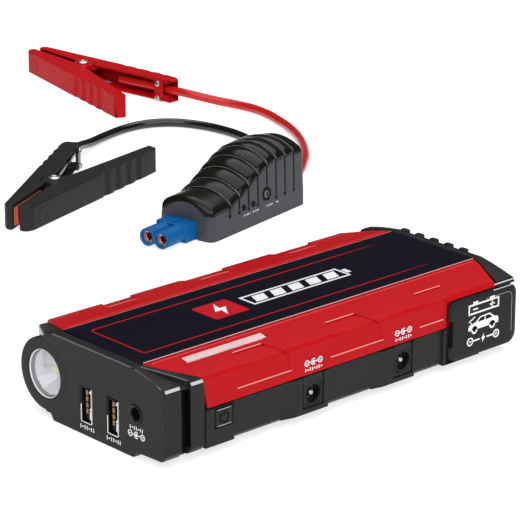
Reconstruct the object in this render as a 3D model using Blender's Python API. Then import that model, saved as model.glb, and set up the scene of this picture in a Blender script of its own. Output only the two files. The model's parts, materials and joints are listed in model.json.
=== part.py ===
"""Jump starter pack with its jumper lead set: a control box, two cables and two spring clamps.

The pack rests on z = 0 with its middle over the origin. X runs along its length, with the
lamp and charging ports at -X, and the button, output jacks and jump socket face -Y.
Lengths below are millimetres; meshes are written in metres.
"""
import math

import bmesh
import bpy
from mathutils import Matrix, Vector

MM = 0.001
GAP = 0.3                  # clearance between touching pieces

# Pack: driving dimensions
CORE_X = 67.8              # half length of the middle shells, between the end caps
END_X = 86.0               # face of the end caps
RIDGE_Y = 39.0             # half width over the cap ridges
BLOCK_Y = 38.6             # half width over the raised side blocks
PANEL_Y = 38.3             # half width over the red panels
WALL_Y = 37.5              # half width between the blocks
CAVITY_Y = 34.3            # half width inside
TOP_Z = 33.0
SEAM_Z = 17.2              # joint between the lower case and the panels
FLOOR_Y = 22.0             # half width of the flat base
CREASE_Y = 21.8            # where the flat top turns into the shoulder
SHOULDER_Y, SHOULDER_Z = 37.4, 29.4
REAR_LIFT, CAP_LIFT = 1.8, 0.9    # the rear shoulder is fuller: extra height of its panel and of the caps
LABEL_X, LABEL_Y = 81.2, 20.9
LABEL_T = 0.9
PANEL_T = 1.5
FAR_RIB_X = 87.0           # outer end of the grip ribs on the far face

SCREWS = [(-60.0, -26.5), (-60.0, 26.5), (46.0, -28.0), (60.0, 26.5)]

# Front face features: x ranges and heights
BUTTON = (-63.0, -55.3, 9.5, 16.2)
BUTTON_TRAVEL = 0.8
JACKS = {"output_jack_12v": (-21.8, -12.5, 9.9), "output_jack_19v": (22.8, 31.8, 10.6)}
JACK_LOW = 5.2
JACK_BORE, JACK_PIN = 3.4, 0.9
WINDOW = (-66.6, -30.3, 25.1, 28.4)
COVER = (50.1, 84.6, 3.5, 27.0)
COVER_FACE_Y = 39.5
COVER_T = 1.9              # also the radius of the hinge barrel
COVER_BACK_Y = 37.3        # wall behind the cover
SOCKET = (55.0, 80.5, 7.2, 19.0)
SOCKET_PINS = (62.2, 73.3)

# Port end features
LAMP_Y, LAMP_Z = 26.3, 16.6
LAMP_R, LENS_R = 13.5, 8.7
USB_Y = {"left": 3.1, "right": -11.4}
USB_Z, USB_W, USB_H = 11.5, 5.9, 13.1
CORNER = ((-86.0, 26.0), (-78.6, 38.5))    # cut-back rear corner, in plan; the lamp boss stands free of it
CHARGE_Y, CHARGE_Z, CHARGE_R = -23.7, 16.5, 3.4

# Jumper lead set: control box frame, then its driving dimensions
BOX_AT, BOX_YAW = (113.8, 151.5), math.radians(12.0)
BOX_L, BOX_W = 69.0, 29.0
BOX_FRONT_Z, BOX_REAR_Z, CROWN = 13.5, 26.5, 4.6
BOX_WALL = 1.8
PLUG_Y, PLUG_Z = 1.7, 4.3
BARREL_R, BARREL_PITCH = 3.9, 7.4
BLOCK_LEN, BARREL_LEN = 7.5, 11.5
LIGHT_X, LIGHT_Z = (-11.5, -4.8), 9.8
BOOST_X, BOOST_Z, BOOST_R = 5.1, 11.8, 2.3
BOOT_MIDDLE_Y, BOOT_Y, BOOT_Z = 3.5, 3.0, 8.0
BOOT_END = 43.5

# Clamps: each lies on its side, pivot at its frame's origin, jaws towards -x
CLAMPS = {"black": ((68.0, 218.0), math.radians(27.7)), "red": ((200.0, 363.5), math.radians(-92.4))}
CLAMP_T = 11.5
CLAMP_WALL = 1.4
LOBE_R = 5.9
PIN_R = 1.6
JAW_X = (-38.5, -12.0)
TEETH = 9
GRIP_ANGLE = math.radians(11.0)    # inner edge of the fixed handle
CABLE_R = 2.1

# Cable routes on the ground, chosen by hand: box end first, then the loose curve, then the clamp
RED_ROUTE = [
    (156.6, 161.1, 8.0), (161.2, 162.1, 8.0), (166.4, 165.1, 7.9), (173.0, 170.7, 7.7),
    (181.6, 178.6, 7.2), (190.8, 188.8, 6.3), (199.8, 199.8, 5.2), (207.8, 210.8, 4.1),
    (215.1, 222.2, 3.1), (221.0, 233.5, 2.4), (225.0, 244.0, 2.2), (228.4, 256.0, 2.2),
    (229.6, 267.6, 2.2), (227.8, 278.0, 2.4), (223.6, 286.6, 3.2), (218.6, 293.6, 4.7),
    (215.3, 300.2, 5.7), (213.9, 307.9, 5.75), (211.2, 325.0, 5.75), (208.3, 343.1, 5.75),
]
BLACK_ROUTE = [
    (155.4, 167.0, 8.0), (159.7, 168.2, 7.6), (163.6, 171.8, 6.2), (167.0, 178.0, 4.1),
    (171.6, 186.4, 2.6), (178.0, 197.0, 2.2), (184.6, 209.0, 2.2), (190.2, 222.0, 2.2),
    (193.6, 236.6, 2.2), (193.6, 251.0, 2.2), (190.4, 264.4, 2.2), (184.0, 275.2, 2.2),
    (173.6, 281.4, 2.2), (160.6, 282.2, 2.2), (146.4, 278.6, 2.4), (132.2, 272.6, 3.2),
    (121.6, 267.2, 4.9), (115.5, 262.9, 5.75), (109.2, 257.9, 5.75), (95.7, 247.0, 5.75),
    (81.6, 235.3, 5.75),
]

MATERIALS = {
    "black_plastic": ((0.033, 0.033, 0.035), 0.45, 0.0),
    "red_plastic": ((0.52, 0.012, 0.018), 0.38, 0.0),
    "navy_label": ((0.004, 0.004, 0.010), 0.2, 0.0),
    "window_plastic": ((0.80, 0.58, 0.62), 0.3, 0.0),
    "cover_rubber": ((0.028, 0.028, 0.029), 0.7, 0.0),
    "reflector_chrome": ((0.85, 0.85, 0.87), 0.12, 1.0),
    "clear_lens": ((0.82, 0.85, 0.88), 0.05, 0.0),
    "led_phosphor": ((0.75, 0.80, 0.20), 0.4, 0.0),
    "plated_steel": ((0.62, 0.62, 0.64), 0.25, 1.0),
    "copper": ((0.72, 0.32, 0.20), 0.35, 1.0),
    "board_green": ((0.02, 0.12, 0.05), 0.5, 0.0),
    "cell_foil": ((0.45, 0.46, 0.48), 0.35, 1.0),
    "plug_blue": ((0.004, 0.12, 0.45), 0.4, 0.0),
    "cable_red": ((0.50, 0.010, 0.014), 0.35, 0.0),
    "cable_black": ((0.020, 0.020, 0.022), 0.35, 0.0),
}


# ---------------------------------------------------------------- tools

def clear_scene():
    for thing in list(bpy.data.objects):
        bpy.data.objects.remove(thing, do_unlink=True)


def material(name):
    made = bpy.data.materials.get(name)
    if made is None:
        colour, roughness, metallic = MATERIALS[name]
        made = bpy.data.materials.new(name)
        made.use_nodes = True
        shader = made.node_tree.nodes["Principled BSDF"]
        shader.inputs["Base Color"].default_value = (*colour, 1.0)
        shader.inputs["Roughness"].default_value = roughness
        shader.inputs["Metallic"].default_value = metallic
    return made


def frame(name, at, yaw, parent=None):
    """An empty at a place on the ground, turned about the vertical."""
    empty = bpy.data.objects.new(name, None)
    bpy.context.collection.objects.link(empty)
    empty.location = Vector((at[0], at[1], 0.0)) * MM
    empty.rotation_euler = (0.0, 0.0, yaw)
    empty.parent = parent
    return empty


def stack(rings):
    """Closed solid through rings of points, each ring with the same number of them."""
    shape = bmesh.new()
    loops = [[shape.verts.new(point) for point in ring] for ring in rings]
    count = len(rings[0])
    for low, high in zip(loops, loops[1:]):
        for i in range(count):
            j = (i + 1) % count
            shape.faces.new((low[i], low[j], high[j], high[i]))
    shape.faces.new(reversed(loops[0]))
    shape.faces.new(loops[-1])
    bmesh.ops.recalc_face_normals(shape, faces=shape.faces)
    return shape


def prism(outline, low, high, axis):
    """Outline in the plane across an axis, drawn from low to high along it."""
    rings = []
    for w in (low, high):
        rings.append([{"X": (w, u, v), "Y": (u, w, v), "Z": (u, v, w)}[axis] for u, v in outline])
    return stack(rings)


def box(x, y, z):
    return prism([(x[0], y[0]), (x[1], y[0]), (x[1], y[1]), (x[0], y[1])], z[0], z[1], "Z")


def circle(centre, radius, sides):
    turns = [math.tau * i / sides for i in range(sides)]
    return [(centre[0] + radius * math.cos(a), centre[1] + radius * math.sin(a)) for a in turns]


def rod(axis, centre, radius, low, high, sides=16):
    return prism(circle(centre, radius, sides), low, high, axis)


def cone(axis, centre, radii, low, high, sides=16):
    """Tapered rod, by scaling the top ring of a straight one."""
    shape = rod(axis, centre, radii[0], low, high, sides)
    shape.verts.ensure_lookup_table()
    index = "XYZ".index(axis)
    for vert in shape.verts:
        if abs(vert.co[index] - high) < 0.001:
            others = [i for i in range(3) if i != index]
            for i, middle in zip(others, centre):
                vert.co[i] = middle + (vert.co[i] - middle) * radii[1] / radii[0]
    return shape


def turned(shape):
    """The same shape, half a turn about the vertical."""
    bmesh.ops.rotate(shape, verts=shape.verts, cent=(0, 0, 0), matrix=Matrix.Rotation(math.pi, 3, "Z"))
    return shape


def mirrored(rear, front=None):
    """Whole outline from its +y half, which runs from the middle and back to it; -y may differ."""
    return rear + [(-y, z) for y, z in reversed(front or rear) if y > 0]


def thing(name, shape, parent):
    mesh = bpy.data.meshes.new(name)
    bmesh.ops.scale(shape, vec=(MM, MM, MM), verts=shape.verts)
    shape.to_mesh(mesh)
    shape.free()
    made = bpy.data.objects.new(name, mesh)
    bpy.context.collection.objects.link(made)
    made.parent = parent
    return made


def solid(name, shape, stuff, parent=None, smooth=40.0):
    piece = thing(name, shape, parent)
    piece.data.materials.append(material(stuff))
    piece.data.shade_smooth()
    piece.data.set_sharp_from_angle(angle=math.radians(smooth))
    return piece


def combine(piece, operation, shapes):
    for number, shape in enumerate(shapes):
        tool = thing(f"{piece.name}_{operation.lower()}_{number}", shape, piece.parent)
        tool.hide_render = True
        tool.display_type = "WIRE"
        step = piece.modifiers.new(operation.title(), "BOOLEAN")
        step.operation = operation
        step.solver = "EXACT"
        step.object = tool
    return piece


def cut(piece, *shapes):
    return combine(piece, "DIFFERENCE", shapes)


def fuse(piece, *shapes):
    return combine(piece, "UNION", shapes)


def wire(name, points, radius, stuff, resolution, parent=None):
    """Round bar along a list of points, with closed ends."""
    curve = bpy.data.curves.new(name, "CURVE")
    curve.dimensions = "3D"
    curve.bevel_depth = radius * MM
    curve.bevel_resolution = resolution
    curve.use_fill_caps = True
    spline = curve.splines.new("POLY")
    spline.points.add(len(points) - 1)
    for spot, point in zip(spline.points, points):
        spot.co = (*(Vector(point) * MM), 1.0)
    spline.use_smooth = True
    made = bpy.data.objects.new(name, curve)
    bpy.context.collection.objects.link(made)
    made.data.materials.append(material(stuff))
    made.parent = parent
    return made


def smooth_route(route, spacing):
    """Points at equal spacing along the Catmull-Rom curve through a route."""
    knots = [Vector(p) for p in route]
    knots = [2 * knots[0] - knots[1]] + knots + [2 * knots[-1] - knots[-2]]
    fine = []
    for a, b, c, d in zip(knots, knots[1:], knots[2:], knots[3:]):
        for i in range(24):
            t = i / 24
            fine.append(0.5 * (2 * b + (c - a) * t + (2 * a - 5 * b + 4 * c - d) * t**2
                               + (3 * b - a - 3 * c + d) * t**3))
    fine.append(knots[-2])
    reach = [0.0]
    for a, b in zip(fine, fine[1:]):
        reach.append(reach[-1] + (b - a).length)
    count = round(reach[-1] / spacing)
    points = []
    i = 0
    for step in range(count + 1):
        want = reach[-1] * step / count
        while i < len(fine) - 2 and reach[i + 1] < want:
            i += 1
        share = (want - reach[i]) / (reach[i + 1] - reach[i])
        points.append(fine[i].lerp(fine[i + 1], share))
    return points


# ---------------------------------------------------------------- pack shells

def shoulder(y, lift=0.0):
    """Height of the outer skin over the shoulder, which is slightly domed."""
    t = (y - CREASE_Y) / (SHOULDER_Y - CREASE_Y)
    return TOP_Z - (TOP_Z - SHOULDER_Z) * (0.75 * t + 0.25 * t * t) + lift * t


def skin_chain(depth, low=SEAM_Z + GAP / 2, lift=0.0):
    """(y, z) points from the seam up over the shoulder to the crease, depth under the outer skin."""
    side = PANEL_Y - depth
    chain = [(side, low), (side, 28.3 + lift - 0.55 * depth)]
    chain += [(SHOULDER_Y - 0.45 * depth, SHOULDER_Z + lift - 0.95 * depth)]
    chain += [(y - 0.15 * depth, shoulder(y, lift) - depth) for y in (32.0, 27.0)]
    return chain + [(CREASE_Y + GAP, shoulder(CREASE_Y + GAP, lift) - depth)]


def panel_ends(row):
    """Both x ends of the front panel at a row of its skin: upright on the side, slanted over the shoulder."""
    if row < 2:
        return ((-66.3, 75.3), (-68.6, 75.2))[row]
    y = skin_chain(0.0)[row][0]
    t = max(0.0, (y - 22.9) / (38.0 - 22.9))
    return -81.4 + 13.3 * t, 81.0 - 6.0 * t


def panel_shape(outer_depth, inner_depth, longer, low, lift):
    """Front panel: a folded skin between two depths, stretched at its ends and seam if it is a cutter."""
    outer = skin_chain(outer_depth, low, lift)
    inner = skin_chain(inner_depth, low, lift)
    if longer > 0:
        outer[-1] = (CREASE_Y, outer[-1][1])
        inner[-1] = (CREASE_Y, inner[-1][1])
    ends = [panel_ends(row) for row in range(len(outer))]
    rows = ([], [])
    for (y, z), (left, right) in zip(outer + inner[::-1], ends + ends[::-1]):
        rows[0].append((left - longer, -y, z))
        rows[1].append((right + longer, -y, z))
    return stack(rows)


def panel_rooms():
    """Room for the front panel and for the rear one."""
    low = SEAM_Z - GAP / 2
    front = panel_shape(-3.0, PANEL_T + GAP, 0.5, low, 0.0)
    return front, turned(panel_shape(-3.0, PANEL_T + GAP, 0.5, low, REAR_LIFT))


def cavity(low, high):
    half = [(0, 2.2), (21, 2.2), (22.5, 4.6), (CAVITY_Y, 4.6)]
    half += [(CAVITY_Y, 24.8), (31, 27.6), (21, 29.8), (0, 30.2)]
    return prism(mirrored(half), low, high, "X")


def cover_pocket():
    """Room behind and around the socket cover and its hinge barrel."""
    return box((COVER[0] - GAP, 95), (-50, -COVER_BACK_Y), (COVER[2] - GAP, COVER[3] + GAP))


def hinge_pocket():
    return rod("Z", (COVER[1], COVER_T - COVER_FACE_Y), COVER_T + 0.4, COVER[2] - GAP, COVER[3] + GAP, 20)


def socket_opening():
    x0, x1, z0, z1 = SOCKET
    return box((x0 - GAP, x1 + GAP), (-50, -30), (z0 - GAP, z1 + GAP))


def side_block(low, slope, high):
    """Raised block on the front side: it slopes up from low and ends square at high."""
    plan = [(low, 1 - WALL_Y), (low, -WALL_Y + 0.2), (slope, -BLOCK_Y), (high, -BLOCK_Y), (high, 1 - WALL_Y)]
    return prism(plan, 3.0, SEAM_Z - 0.3, "Z")


def lower_case():
    half = [(0, 0), (FLOOR_Y, 0), (23.5, 2.3), (35.6, 2.4), (WALL_Y, 4.3), (WALL_Y, SEAM_Z - GAP / 2),
            (CAVITY_Y, SEAM_Z - GAP / 2), (CAVITY_Y, 4.6), (22.5, 4.6), (21, 2.2), (0, 2.2)]
    case = solid("lower_case", prism(mirrored(half), -CORE_X, CORE_X, "X"), "black_plastic")
    blocks = [(-67.4, -67.3, -54.4), (-31.5, -26.0, -10.0), (12.4, 18.0, 33.0), (48.0, 48.1, 67.4)]
    fuse(case, *[side_block(*b) for b in blocks], *[turned(side_block(*b)) for b in blocks])
    for x0, x1, _ in JACKS.values():
        cut(case, box((x0 - GAP, x1 + GAP), (-50, -30), (JACK_LOW - GAP, 20)))
    x0, x1, z0, z1 = BUTTON
    cut(case, box((x0 - GAP, x1 + GAP), (-50, -30), (z0 - GAP, z1 + GAP)), cover_pocket(), socket_opening())
    for x, y in SCREWS:
        cut(case, rod("Z", (x, y), 3.1, -1, 3.6), rod("Z", (x, y), 1.6, 3, 6, 12))


def upper_frame():
    """Black frame under the label and the panels, with the crease rails and four screw posts."""
    half = [(0, TOP_Z - LABEL_T - GAP), (LABEL_Y + GAP, TOP_Z - LABEL_T - GAP), (LABEL_Y + GAP, TOP_Z),
            (CREASE_Y, TOP_Z)]
    inner = [(CAVITY_Y, SEAM_Z + GAP / 2), (CAVITY_Y, 24.8), (31, 27.6), (21, 29.8), (0, 30.2)]
    halves = []
    for lift in (REAR_LIFT, 0.0):
        outer = skin_chain(PANEL_T + GAP, lift=lift)[::-1]
        halves.append(half + [(CREASE_Y, outer[0][1])] + outer[1:] + inner)
    body = solid("upper_frame", prism(mirrored(*halves), -CORE_X, CORE_X, "X"), "black_plastic")
    fuse(body, *[rod("Z", spot, 3.0, 4.9, 29.5, 12) for spot in SCREWS])
    cut(body, *[rod("Z", spot, 1.3, 4, 16, 12) for spot in SCREWS], socket_opening())


def case_screws():
    for number, spot in enumerate(SCREWS, 1):
        screw = solid(f"case_screw_{number}", rod("Z", spot, 2.7, 1.8, 3.3), "plated_steel")
        fuse(screw, rod("Z", spot, 1.0, 3.0, 14.0, 10))
        cut(screw, box((spot[0] - 1.9, spot[0] + 1.9), (spot[1] - 0.4, spot[1] + 0.4), (1, 2.5)))


def panels():
    def skin(lift):
        return panel_shape(0.0, PANEL_T, 0.0, SEAM_Z + GAP / 2, lift)
    front = solid("front_panel", skin(0.0), "red_plastic")
    x0, x1, y0, y1 = WINDOW
    slot = [(-y0 + GAP, 40), (-y1 - GAP, 40), (-y1 - GAP, 25), (-y0 + GAP, 25)]
    cut(front, prism(slot, x0 - GAP, x1 + GAP, "X"), cover_pocket(), socket_opening())
    solid("rear_panel", turned(skin(REAR_LIFT)), "red_plastic")


def cap_section():
    halves = []
    for lift in (CAP_LIFT, 0.0):
        half = [(0, 0), (FLOOR_Y, 0), (23.5, 2.3), (37.0, 2.8), (RIDGE_Y, 5.0), (RIDGE_Y, 27.6 + lift)]
        half += [(38.0, 29.2 + lift), (32.0, shoulder(32.0, lift)), (27.0, shoulder(27.0, lift))]
        halves.append(half + [(CREASE_Y, TOP_Z), (0, TOP_Z)])
    return mirrored(*halves)


def ridge_grooves():
    """Groove between the two front corner ridges of the port end: a side slot and its tapering tail."""
    x0, x1 = -78.4, -74.4
    slot = box((x0, x1), (-50, -37.4), (-1, 28.0))
    tail = bmesh.new()
    corners = [(x, y, 26.6) for x in (x0, x1) for y in (-37.4, -50)]
    for x, y, z in corners + [(-83.2, -23.6, 32.6)]:
        tail.verts.new((x, y, z))
        tail.verts.new((x, y, 36))
    bmesh.ops.convex_hull(tail, input=tail.verts)
    return [slot, tail]


def label_room():
    return box((-LABEL_X - GAP, LABEL_X + GAP), (-LABEL_Y - GAP, LABEL_Y + GAP), (TOP_Z - LABEL_T - GAP, 40))


def corner_cut():
    """Room beyond the cut-back rear corner of the port end."""
    (x0, y0), (x1, y1) = CORNER
    slope = (y1 - y0) / (x1 - x0)
    near, far = -90.0, -75.0
    plan = [(near, y0 + slope * (near - x0)), (far, y0 + slope * (far - x0)), (far, 50.0), (near, 50.0)]
    return prism(plan, -1.0, 40.0, "Z")


def port_cavity():
    """Room inside the port end, clear of the cut-back corner."""
    outline = [(CORNER[0][1] - 4.0, 4.6), (CORNER[0][1] - 4.0, 29.0), (0, 30.2), (-21, 29.8), (-31, 27.6)]
    return prism(outline + [(-CAVITY_Y, 24.8), (-CAVITY_Y, 4.6)], -83.4, -76.0, "X")


def port_end_cap():
    cap = solid("port_end_cap", prism(cap_section(), -END_X, -CORE_X - GAP, "X"), "black_plastic")
    cut(cap, corner_cut(), *ridge_grooves())
    fuse(cap, rod("X", (LAMP_Y, LAMP_Z), LAMP_R, -END_X + 0.01, -76.0, 40))
    cut(cap, cavity(-76.1, -60), port_cavity(), *panel_rooms(), label_room())
    cut(cap, rod("X", (LAMP_Y, LAMP_Z), LENS_R + GAP, -90, -70, 32))
    cut(cap, rod("X", (CHARGE_Y, CHARGE_Z), CHARGE_R + GAP, -90, -80, 20))
    half_w, half_h = USB_W / 2 + GAP, USB_H / 2 + GAP
    for y in USB_Y.values():
        cut(cap, box((-90, -80), (y - half_w, y + half_w), (USB_Z - half_h, USB_Z + half_h)))


def far_end_cap():
    cap = solid("far_end_cap", prism(cap_section(), CORE_X + GAP, END_X - 0.8, "X"), "black_plastic")
    cut(cap, *[turned(shape) for shape in ridge_grooves()])
    ribs = [box((84.0, FAR_RIB_X), (y - 2.0, y + 2.0), (6.0, 32.0)) for y in (11.3, 3.5, -4.3, -12.1)]
    fuse(cap, *ribs)
    cut(cap, cavity(60, 82.8), *panel_rooms(), label_room())
    cut(cap, cover_pocket(), hinge_pocket(), socket_opening())


def label_plate():
    plate = box((-LABEL_X, LABEL_X), (-LABEL_Y, LABEL_Y), (TOP_Z - LABEL_T, TOP_Z))
    solid("label_plate", plate, "navy_label")


def charge_window():
    x0, x1, y0, y1 = WINDOW
    z0, z1 = shoulder(y0), shoulder(y1)
    section = [(-y0, z0), (-y1, z1), (-y1, z1 - 1.3), (-y0, z0 - 1.3)]
    solid("charge_window", prism(section, x0, x1, "X"), "window_plastic")


# ---------------------------------------------------------------- pack fittings

def lamp():
    centre = (LAMP_Y, LAMP_Z)
    solid("lamp_lens", rod("X", centre, LENS_R, -85.4, -84.2, 32), "clear_lens")
    reflector = solid("lamp_reflector", cone("X", centre, (8.5, 4.0), -83.9, -76.5, 32), "reflector_chrome")
    cut(reflector, cone("X", centre, (8.0, 3.0), -84.0, -77.4, 32), rod("X", centre, 2.2, -80, -70, 16))
    led = solid("lamp_led", rod("X", centre, 3.6, -76.2, -75.2, 16), "led_phosphor")
    fuse(led, rod("X", centre, 1.6, -78.2, -75.8, 12))


def usb_ports():
    for side, y in USB_Y.items():
        outside, inside = (USB_W / 2, USB_H / 2), (USB_W / 2 - 0.4, USB_H / 2 - 0.4)
        block = box((-85.8, -73.2), (y - outside[0], y + outside[0]), (USB_Z - outside[1], USB_Z + outside[1]))
        shell = solid(f"usb_shell_{side}", block, "plated_steel")
        cut(shell, box((-90, -73.8), (y - inside[0], y + inside[0]), (USB_Z - inside[1], USB_Z + inside[1])))
        tongue = box((-84.6, -74.1), (y + 0.3, y + 2.1), (USB_Z - 5.6, USB_Z + 5.6))
        solid(f"usb_tongue_{side}", tongue, "black_plastic")


def charge_jack():
    centre = (CHARGE_Y, CHARGE_Z)
    jack = solid("charge_jack", rod("X", centre, CHARGE_R, -END_X, -73.5, 20), "black_plastic")
    cut(jack, rod("X", centre, 2.3, -87, -76, 16))
    fuse(jack, rod("X", centre, 0.6, -84.5, -75, 8))


def output_jacks():
    for name, (x0, x1, z) in JACKS.items():
        centre = ((x0 + x1) / 2, z)
        block = box((x0, x1), (-BLOCK_Y + 0.3, -27.0), (JACK_LOW, SEAM_Z - GAP / 2))
        jack = solid(name, block, "black_plastic")
        cut(jack, rod("Y", centre, JACK_BORE, -40, -28.5, 20))
        fuse(jack, rod("Y", centre, JACK_PIN, -37.0, -28, 10))


def power_button():
    x0, x1, z0, z1 = BUTTON
    solid("power_button", box((x0, x1), (-BLOCK_Y - 0.1, -35.4), (z0, z1)), "black_plastic")


def jump_socket():
    x0, x1, z0, z1 = SOCKET
    middle = (z0 + z1) / 2
    socket = solid("jump_socket", box((x0, x1), (-COVER_BACK_Y + 0.3, -24.0), (z0, z1)), "plug_blue")
    for number, x in enumerate(SOCKET_PINS, 1):
        cut(socket, rod("Y", (x, middle), 4.3, -40, -25.5, 20))
        pin = solid(f"socket_pin_{number}", rod("Y", (x, middle), 2.6, -36.0, -25.8, 16), "copper")
        cut(pin, box((x - 0.3, x + 0.3), (-37, -30), (0, 30)))


def socket_cover():
    x0, x1, z0, z1 = COVER
    y0, y1 = -COVER_FACE_Y, COVER_T - COVER_FACE_Y
    r = 4.0
    outline = [(x1, z0), (x1, z1)]
    for cx, cz, start in ((x0 + r, z1 - r, 90), (x0 + r, z0 + r, 180)):
        for i in range(5):
            a = math.radians(start + 22.5 * i)
            outline.append((cx + r * math.cos(a), cz + r * math.sin(a)))
    cover = solid("socket_cover", prism(outline, y0, y1, "Y"), "cover_rubber")
    fuse(cover, rod("Z", (x1, y1), COVER_T, z0, z1, 20))
    cut(cover, box((40, x0 + 2.0), (-50, -30), (9.4, 19.8)))


def main_board():
    board = solid("main_board", box((-71.8, -70.2), (-30, 14), (5.4, 26.0)), "board_green")
    parts = [((-70.5, -64.0), (-28, -16), (8, 20)), ((-70.5, -66.0), (-10, -2), (10, 22)),
             ((-70.5, -63.0), (2, 11), (9, 17))]
    fuse(board, *[box(*part) for part in parts])


def battery_cells():
    for number in range(3):
        low = 5.0 + 7.2 * number
        solid(f"battery_cell_{number + 1}", box((-48, 50), (-22, 32), (low, low + 6.8)), "cell_foil")


# ---------------------------------------------------------------- control box

def wall_top(x):
    """Height of the control box's long edge: low at the plug, rising to a hump at the rear."""
    t = min(1.0, max(0.0, (x + 25.0) / 37.0))
    rise = t * t * (3 - 2 * t)
    drop = max(0.0, (x - 20.0) / (BOX_L / 2 - 20.0))
    return BOX_FRONT_Z + (BOX_REAR_Z - BOX_FRONT_Z) * rise - 1.4 * drop * drop


def box_ring(x, inset, floor, narrow=0.0):
    """Cross ring of the control box: floor, walls that lean in slightly, and the crown."""
    half = BOX_W / 2 - inset - narrow
    top = wall_top(x) - inset
    ring = [(x, -half, floor), (x, -half + 0.7, top)]
    for i in range(1, 8):
        y = (half - 0.7) * (i / 4 - 1)
        ring.append((x, y, top + (CROWN - 0.5 * narrow) * (1 - (i / 4 - 1) ** 2)))
    return ring + [(x, half - 0.7, top), (x, half, floor)]


def box_body(inset, floor):
    end = BOX_L / 2 - inset
    places = [(-end, 3.2), (-end + 1.0, 1.4), (-end + 3.2, 0.0)]
    places += [(-24.0 + 6.0 * i, 0.0) for i in range(9)]
    places += [(end - 3.2, 0.0), (end - 1.0, 1.4), (end, 3.2)]
    return stack([box_ring(x, inset, floor, narrow) for x, narrow in places])


def control_box(at):
    lid = solid("box_lid", box_body(0.0, 0.0), "black_plastic", at)
    cut(lid, box_body(BOX_WALL, -5.0))
    cut(lid, box((-40, -30), (PLUG_Y - 8.2, PLUG_Y + 8.2), (-1, PLUG_Z + 4.2)))
    low, high = BOOT_MIDDLE_Y - BOOT_Y - 4.3, BOOT_MIDDLE_Y + BOOT_Y + 4.3
    cut(lid, box((30, 40), (low, high), (BOOT_Z - 4.3, BOOT_Z + 4.3)))
    for x in LIGHT_X:
        cut(lid, rod("Y", (x, LIGHT_Z), 1.3, -20, -10, 12))
    cut(lid, rod("Y", (BOOST_X, BOOST_Z), BOOST_R + GAP, -20, -10, 16))
    edge_x, edge_y = BOX_L / 2 - BOX_WALL - 3.0, BOX_W / 2 - BOX_WALL - 0.4
    base = solid("box_base", box((-edge_x, edge_x), (-edge_y, edge_y), (0, 2.0)), "black_plastic", at)
    cut(base, box((-40, -25), (PLUG_Y - 8.2, PLUG_Y + 8.2), (-1, 4)))
    board = solid("control_board", box((-22, 26), (-10.5, 10.5), (3.6, 5.0)), "board_green", at)
    relays = [((-18, -4), (-4, 9), (4.8, 11.0)), ((2, 20), (-6, 9), (4.8, 17.0))]
    fuse(board, *[box(*relay) for relay in relays])
    button = rod("Y", (BOOST_X, BOOST_Z), BOOST_R, -BOX_W / 2 + 0.2, -9.5, 16)
    solid("boost_button", button, "black_plastic", at)
    strip = box((-13.5, -2.8), (-11.6, -10.9), (LIGHT_Z - 1.5, LIGHT_Z + 1.5))
    pipe = solid("status_light_pipe", strip, "clear_lens", at)
    fuse(pipe, *[rod("Y", (x, LIGHT_Z), 1.0, -BOX_W / 2 + 0.5, -11, 10) for x in LIGHT_X])


def blue_plug(at):
    face = -BOX_L / 2
    low, high = PLUG_Y - 7.9, PLUG_Y + 7.9
    block = box((face - BLOCK_LEN, face + 5.5), (low, high), (PLUG_Z - 3.9, PLUG_Z + 3.9))
    housing = solid("plug_housing", block, "plug_blue", at)
    end = face - BLOCK_LEN - BARREL_LEN
    axes = [(PLUG_Y + way * BARREL_PITCH / 2, PLUG_Z) for way in (-1, 1)]
    fuse(housing, *[rod("X", axis, BARREL_R, end, face - 5.0, 20) for axis in axes])
    cut(housing, *[rod("X", axis, 2.7, end - 1, face - 2.0, 16) for axis in axes])
    for number, axis in enumerate(axes, 1):
        pin = rod("X", axis, 2.3, end + 1.5, face - 2.4, 16)
        contact = solid(f"plug_contact_{number}", pin, "copper", at)
        cut(contact, rod("X", axis, 1.6, end, face - 6.0, 12))


def cable_boot(at):
    inside = BOX_L / 2 - BOX_WALL - 1.0
    low, high = BOOT_MIDDLE_Y - BOOT_Y - 4, BOOT_MIDDLE_Y + BOOT_Y + 4
    block = box((inside, BOX_L / 2 + 0.6), (low, high), (BOOT_Z - 4, BOOT_Z + 4))
    boot = solid("cable_boot", block, "cover_rubber", at)
    for way in (-1, 1):
        axis = (BOOT_MIDDLE_Y + way * BOOT_Y, BOOT_Z)
        fuse(boot, cone("X", axis, (3.6, 2.6), BOX_L / 2, BOOT_END, 16))


# ---------------------------------------------------------------- clamps

def fixed_profile():
    back = [(-40.6, 1.6), (-40.6, 4.2), (-38.5, 6.0), (52.0, 20.0), (55.0, 18.4), (55.6, 13.4)]
    return back + [(54.0, 12.4), (8.0, 3.45), (-8.0, 1.6)]


def moving_profile():
    turns = [math.radians(a) for a in range(195, -36, -15)]
    lobe = [(LOBE_R * math.cos(a), LOBE_R * math.sin(a)) for a in turns]
    handle = [(61.0, -18.6), (61.6, -20.4), (60.0, -23.6), (58.0, -23.9)]
    return lobe + handle + [(-37.6, -7.4), (-40.6, -5.0), (-40.6, -1.6)]


def channel(way):
    """Room inside a handle, open towards the other handle; way is the side of the handle's back."""
    back = 1.6
    if way > 0:
        plan = [(-39.0, -20), (-39.0, 6.0 - back), (-38.0, 6.1 - back), (52.0, 20.0 - back)]
        plan += [(60.0, 19.6 - back), (60.0, -20)]
    else:
        plan = [(-39.0, 20), (-39.0, -7.2 + back), (-37.0, -7.5 + back), (57.5, -23.8 + back)]
        plan += [(59.5, -22.0), (59.5, 20)]
    return prism(plan, CLAMP_WALL, CLAMP_T - CLAMP_WALL, "Z")


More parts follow.
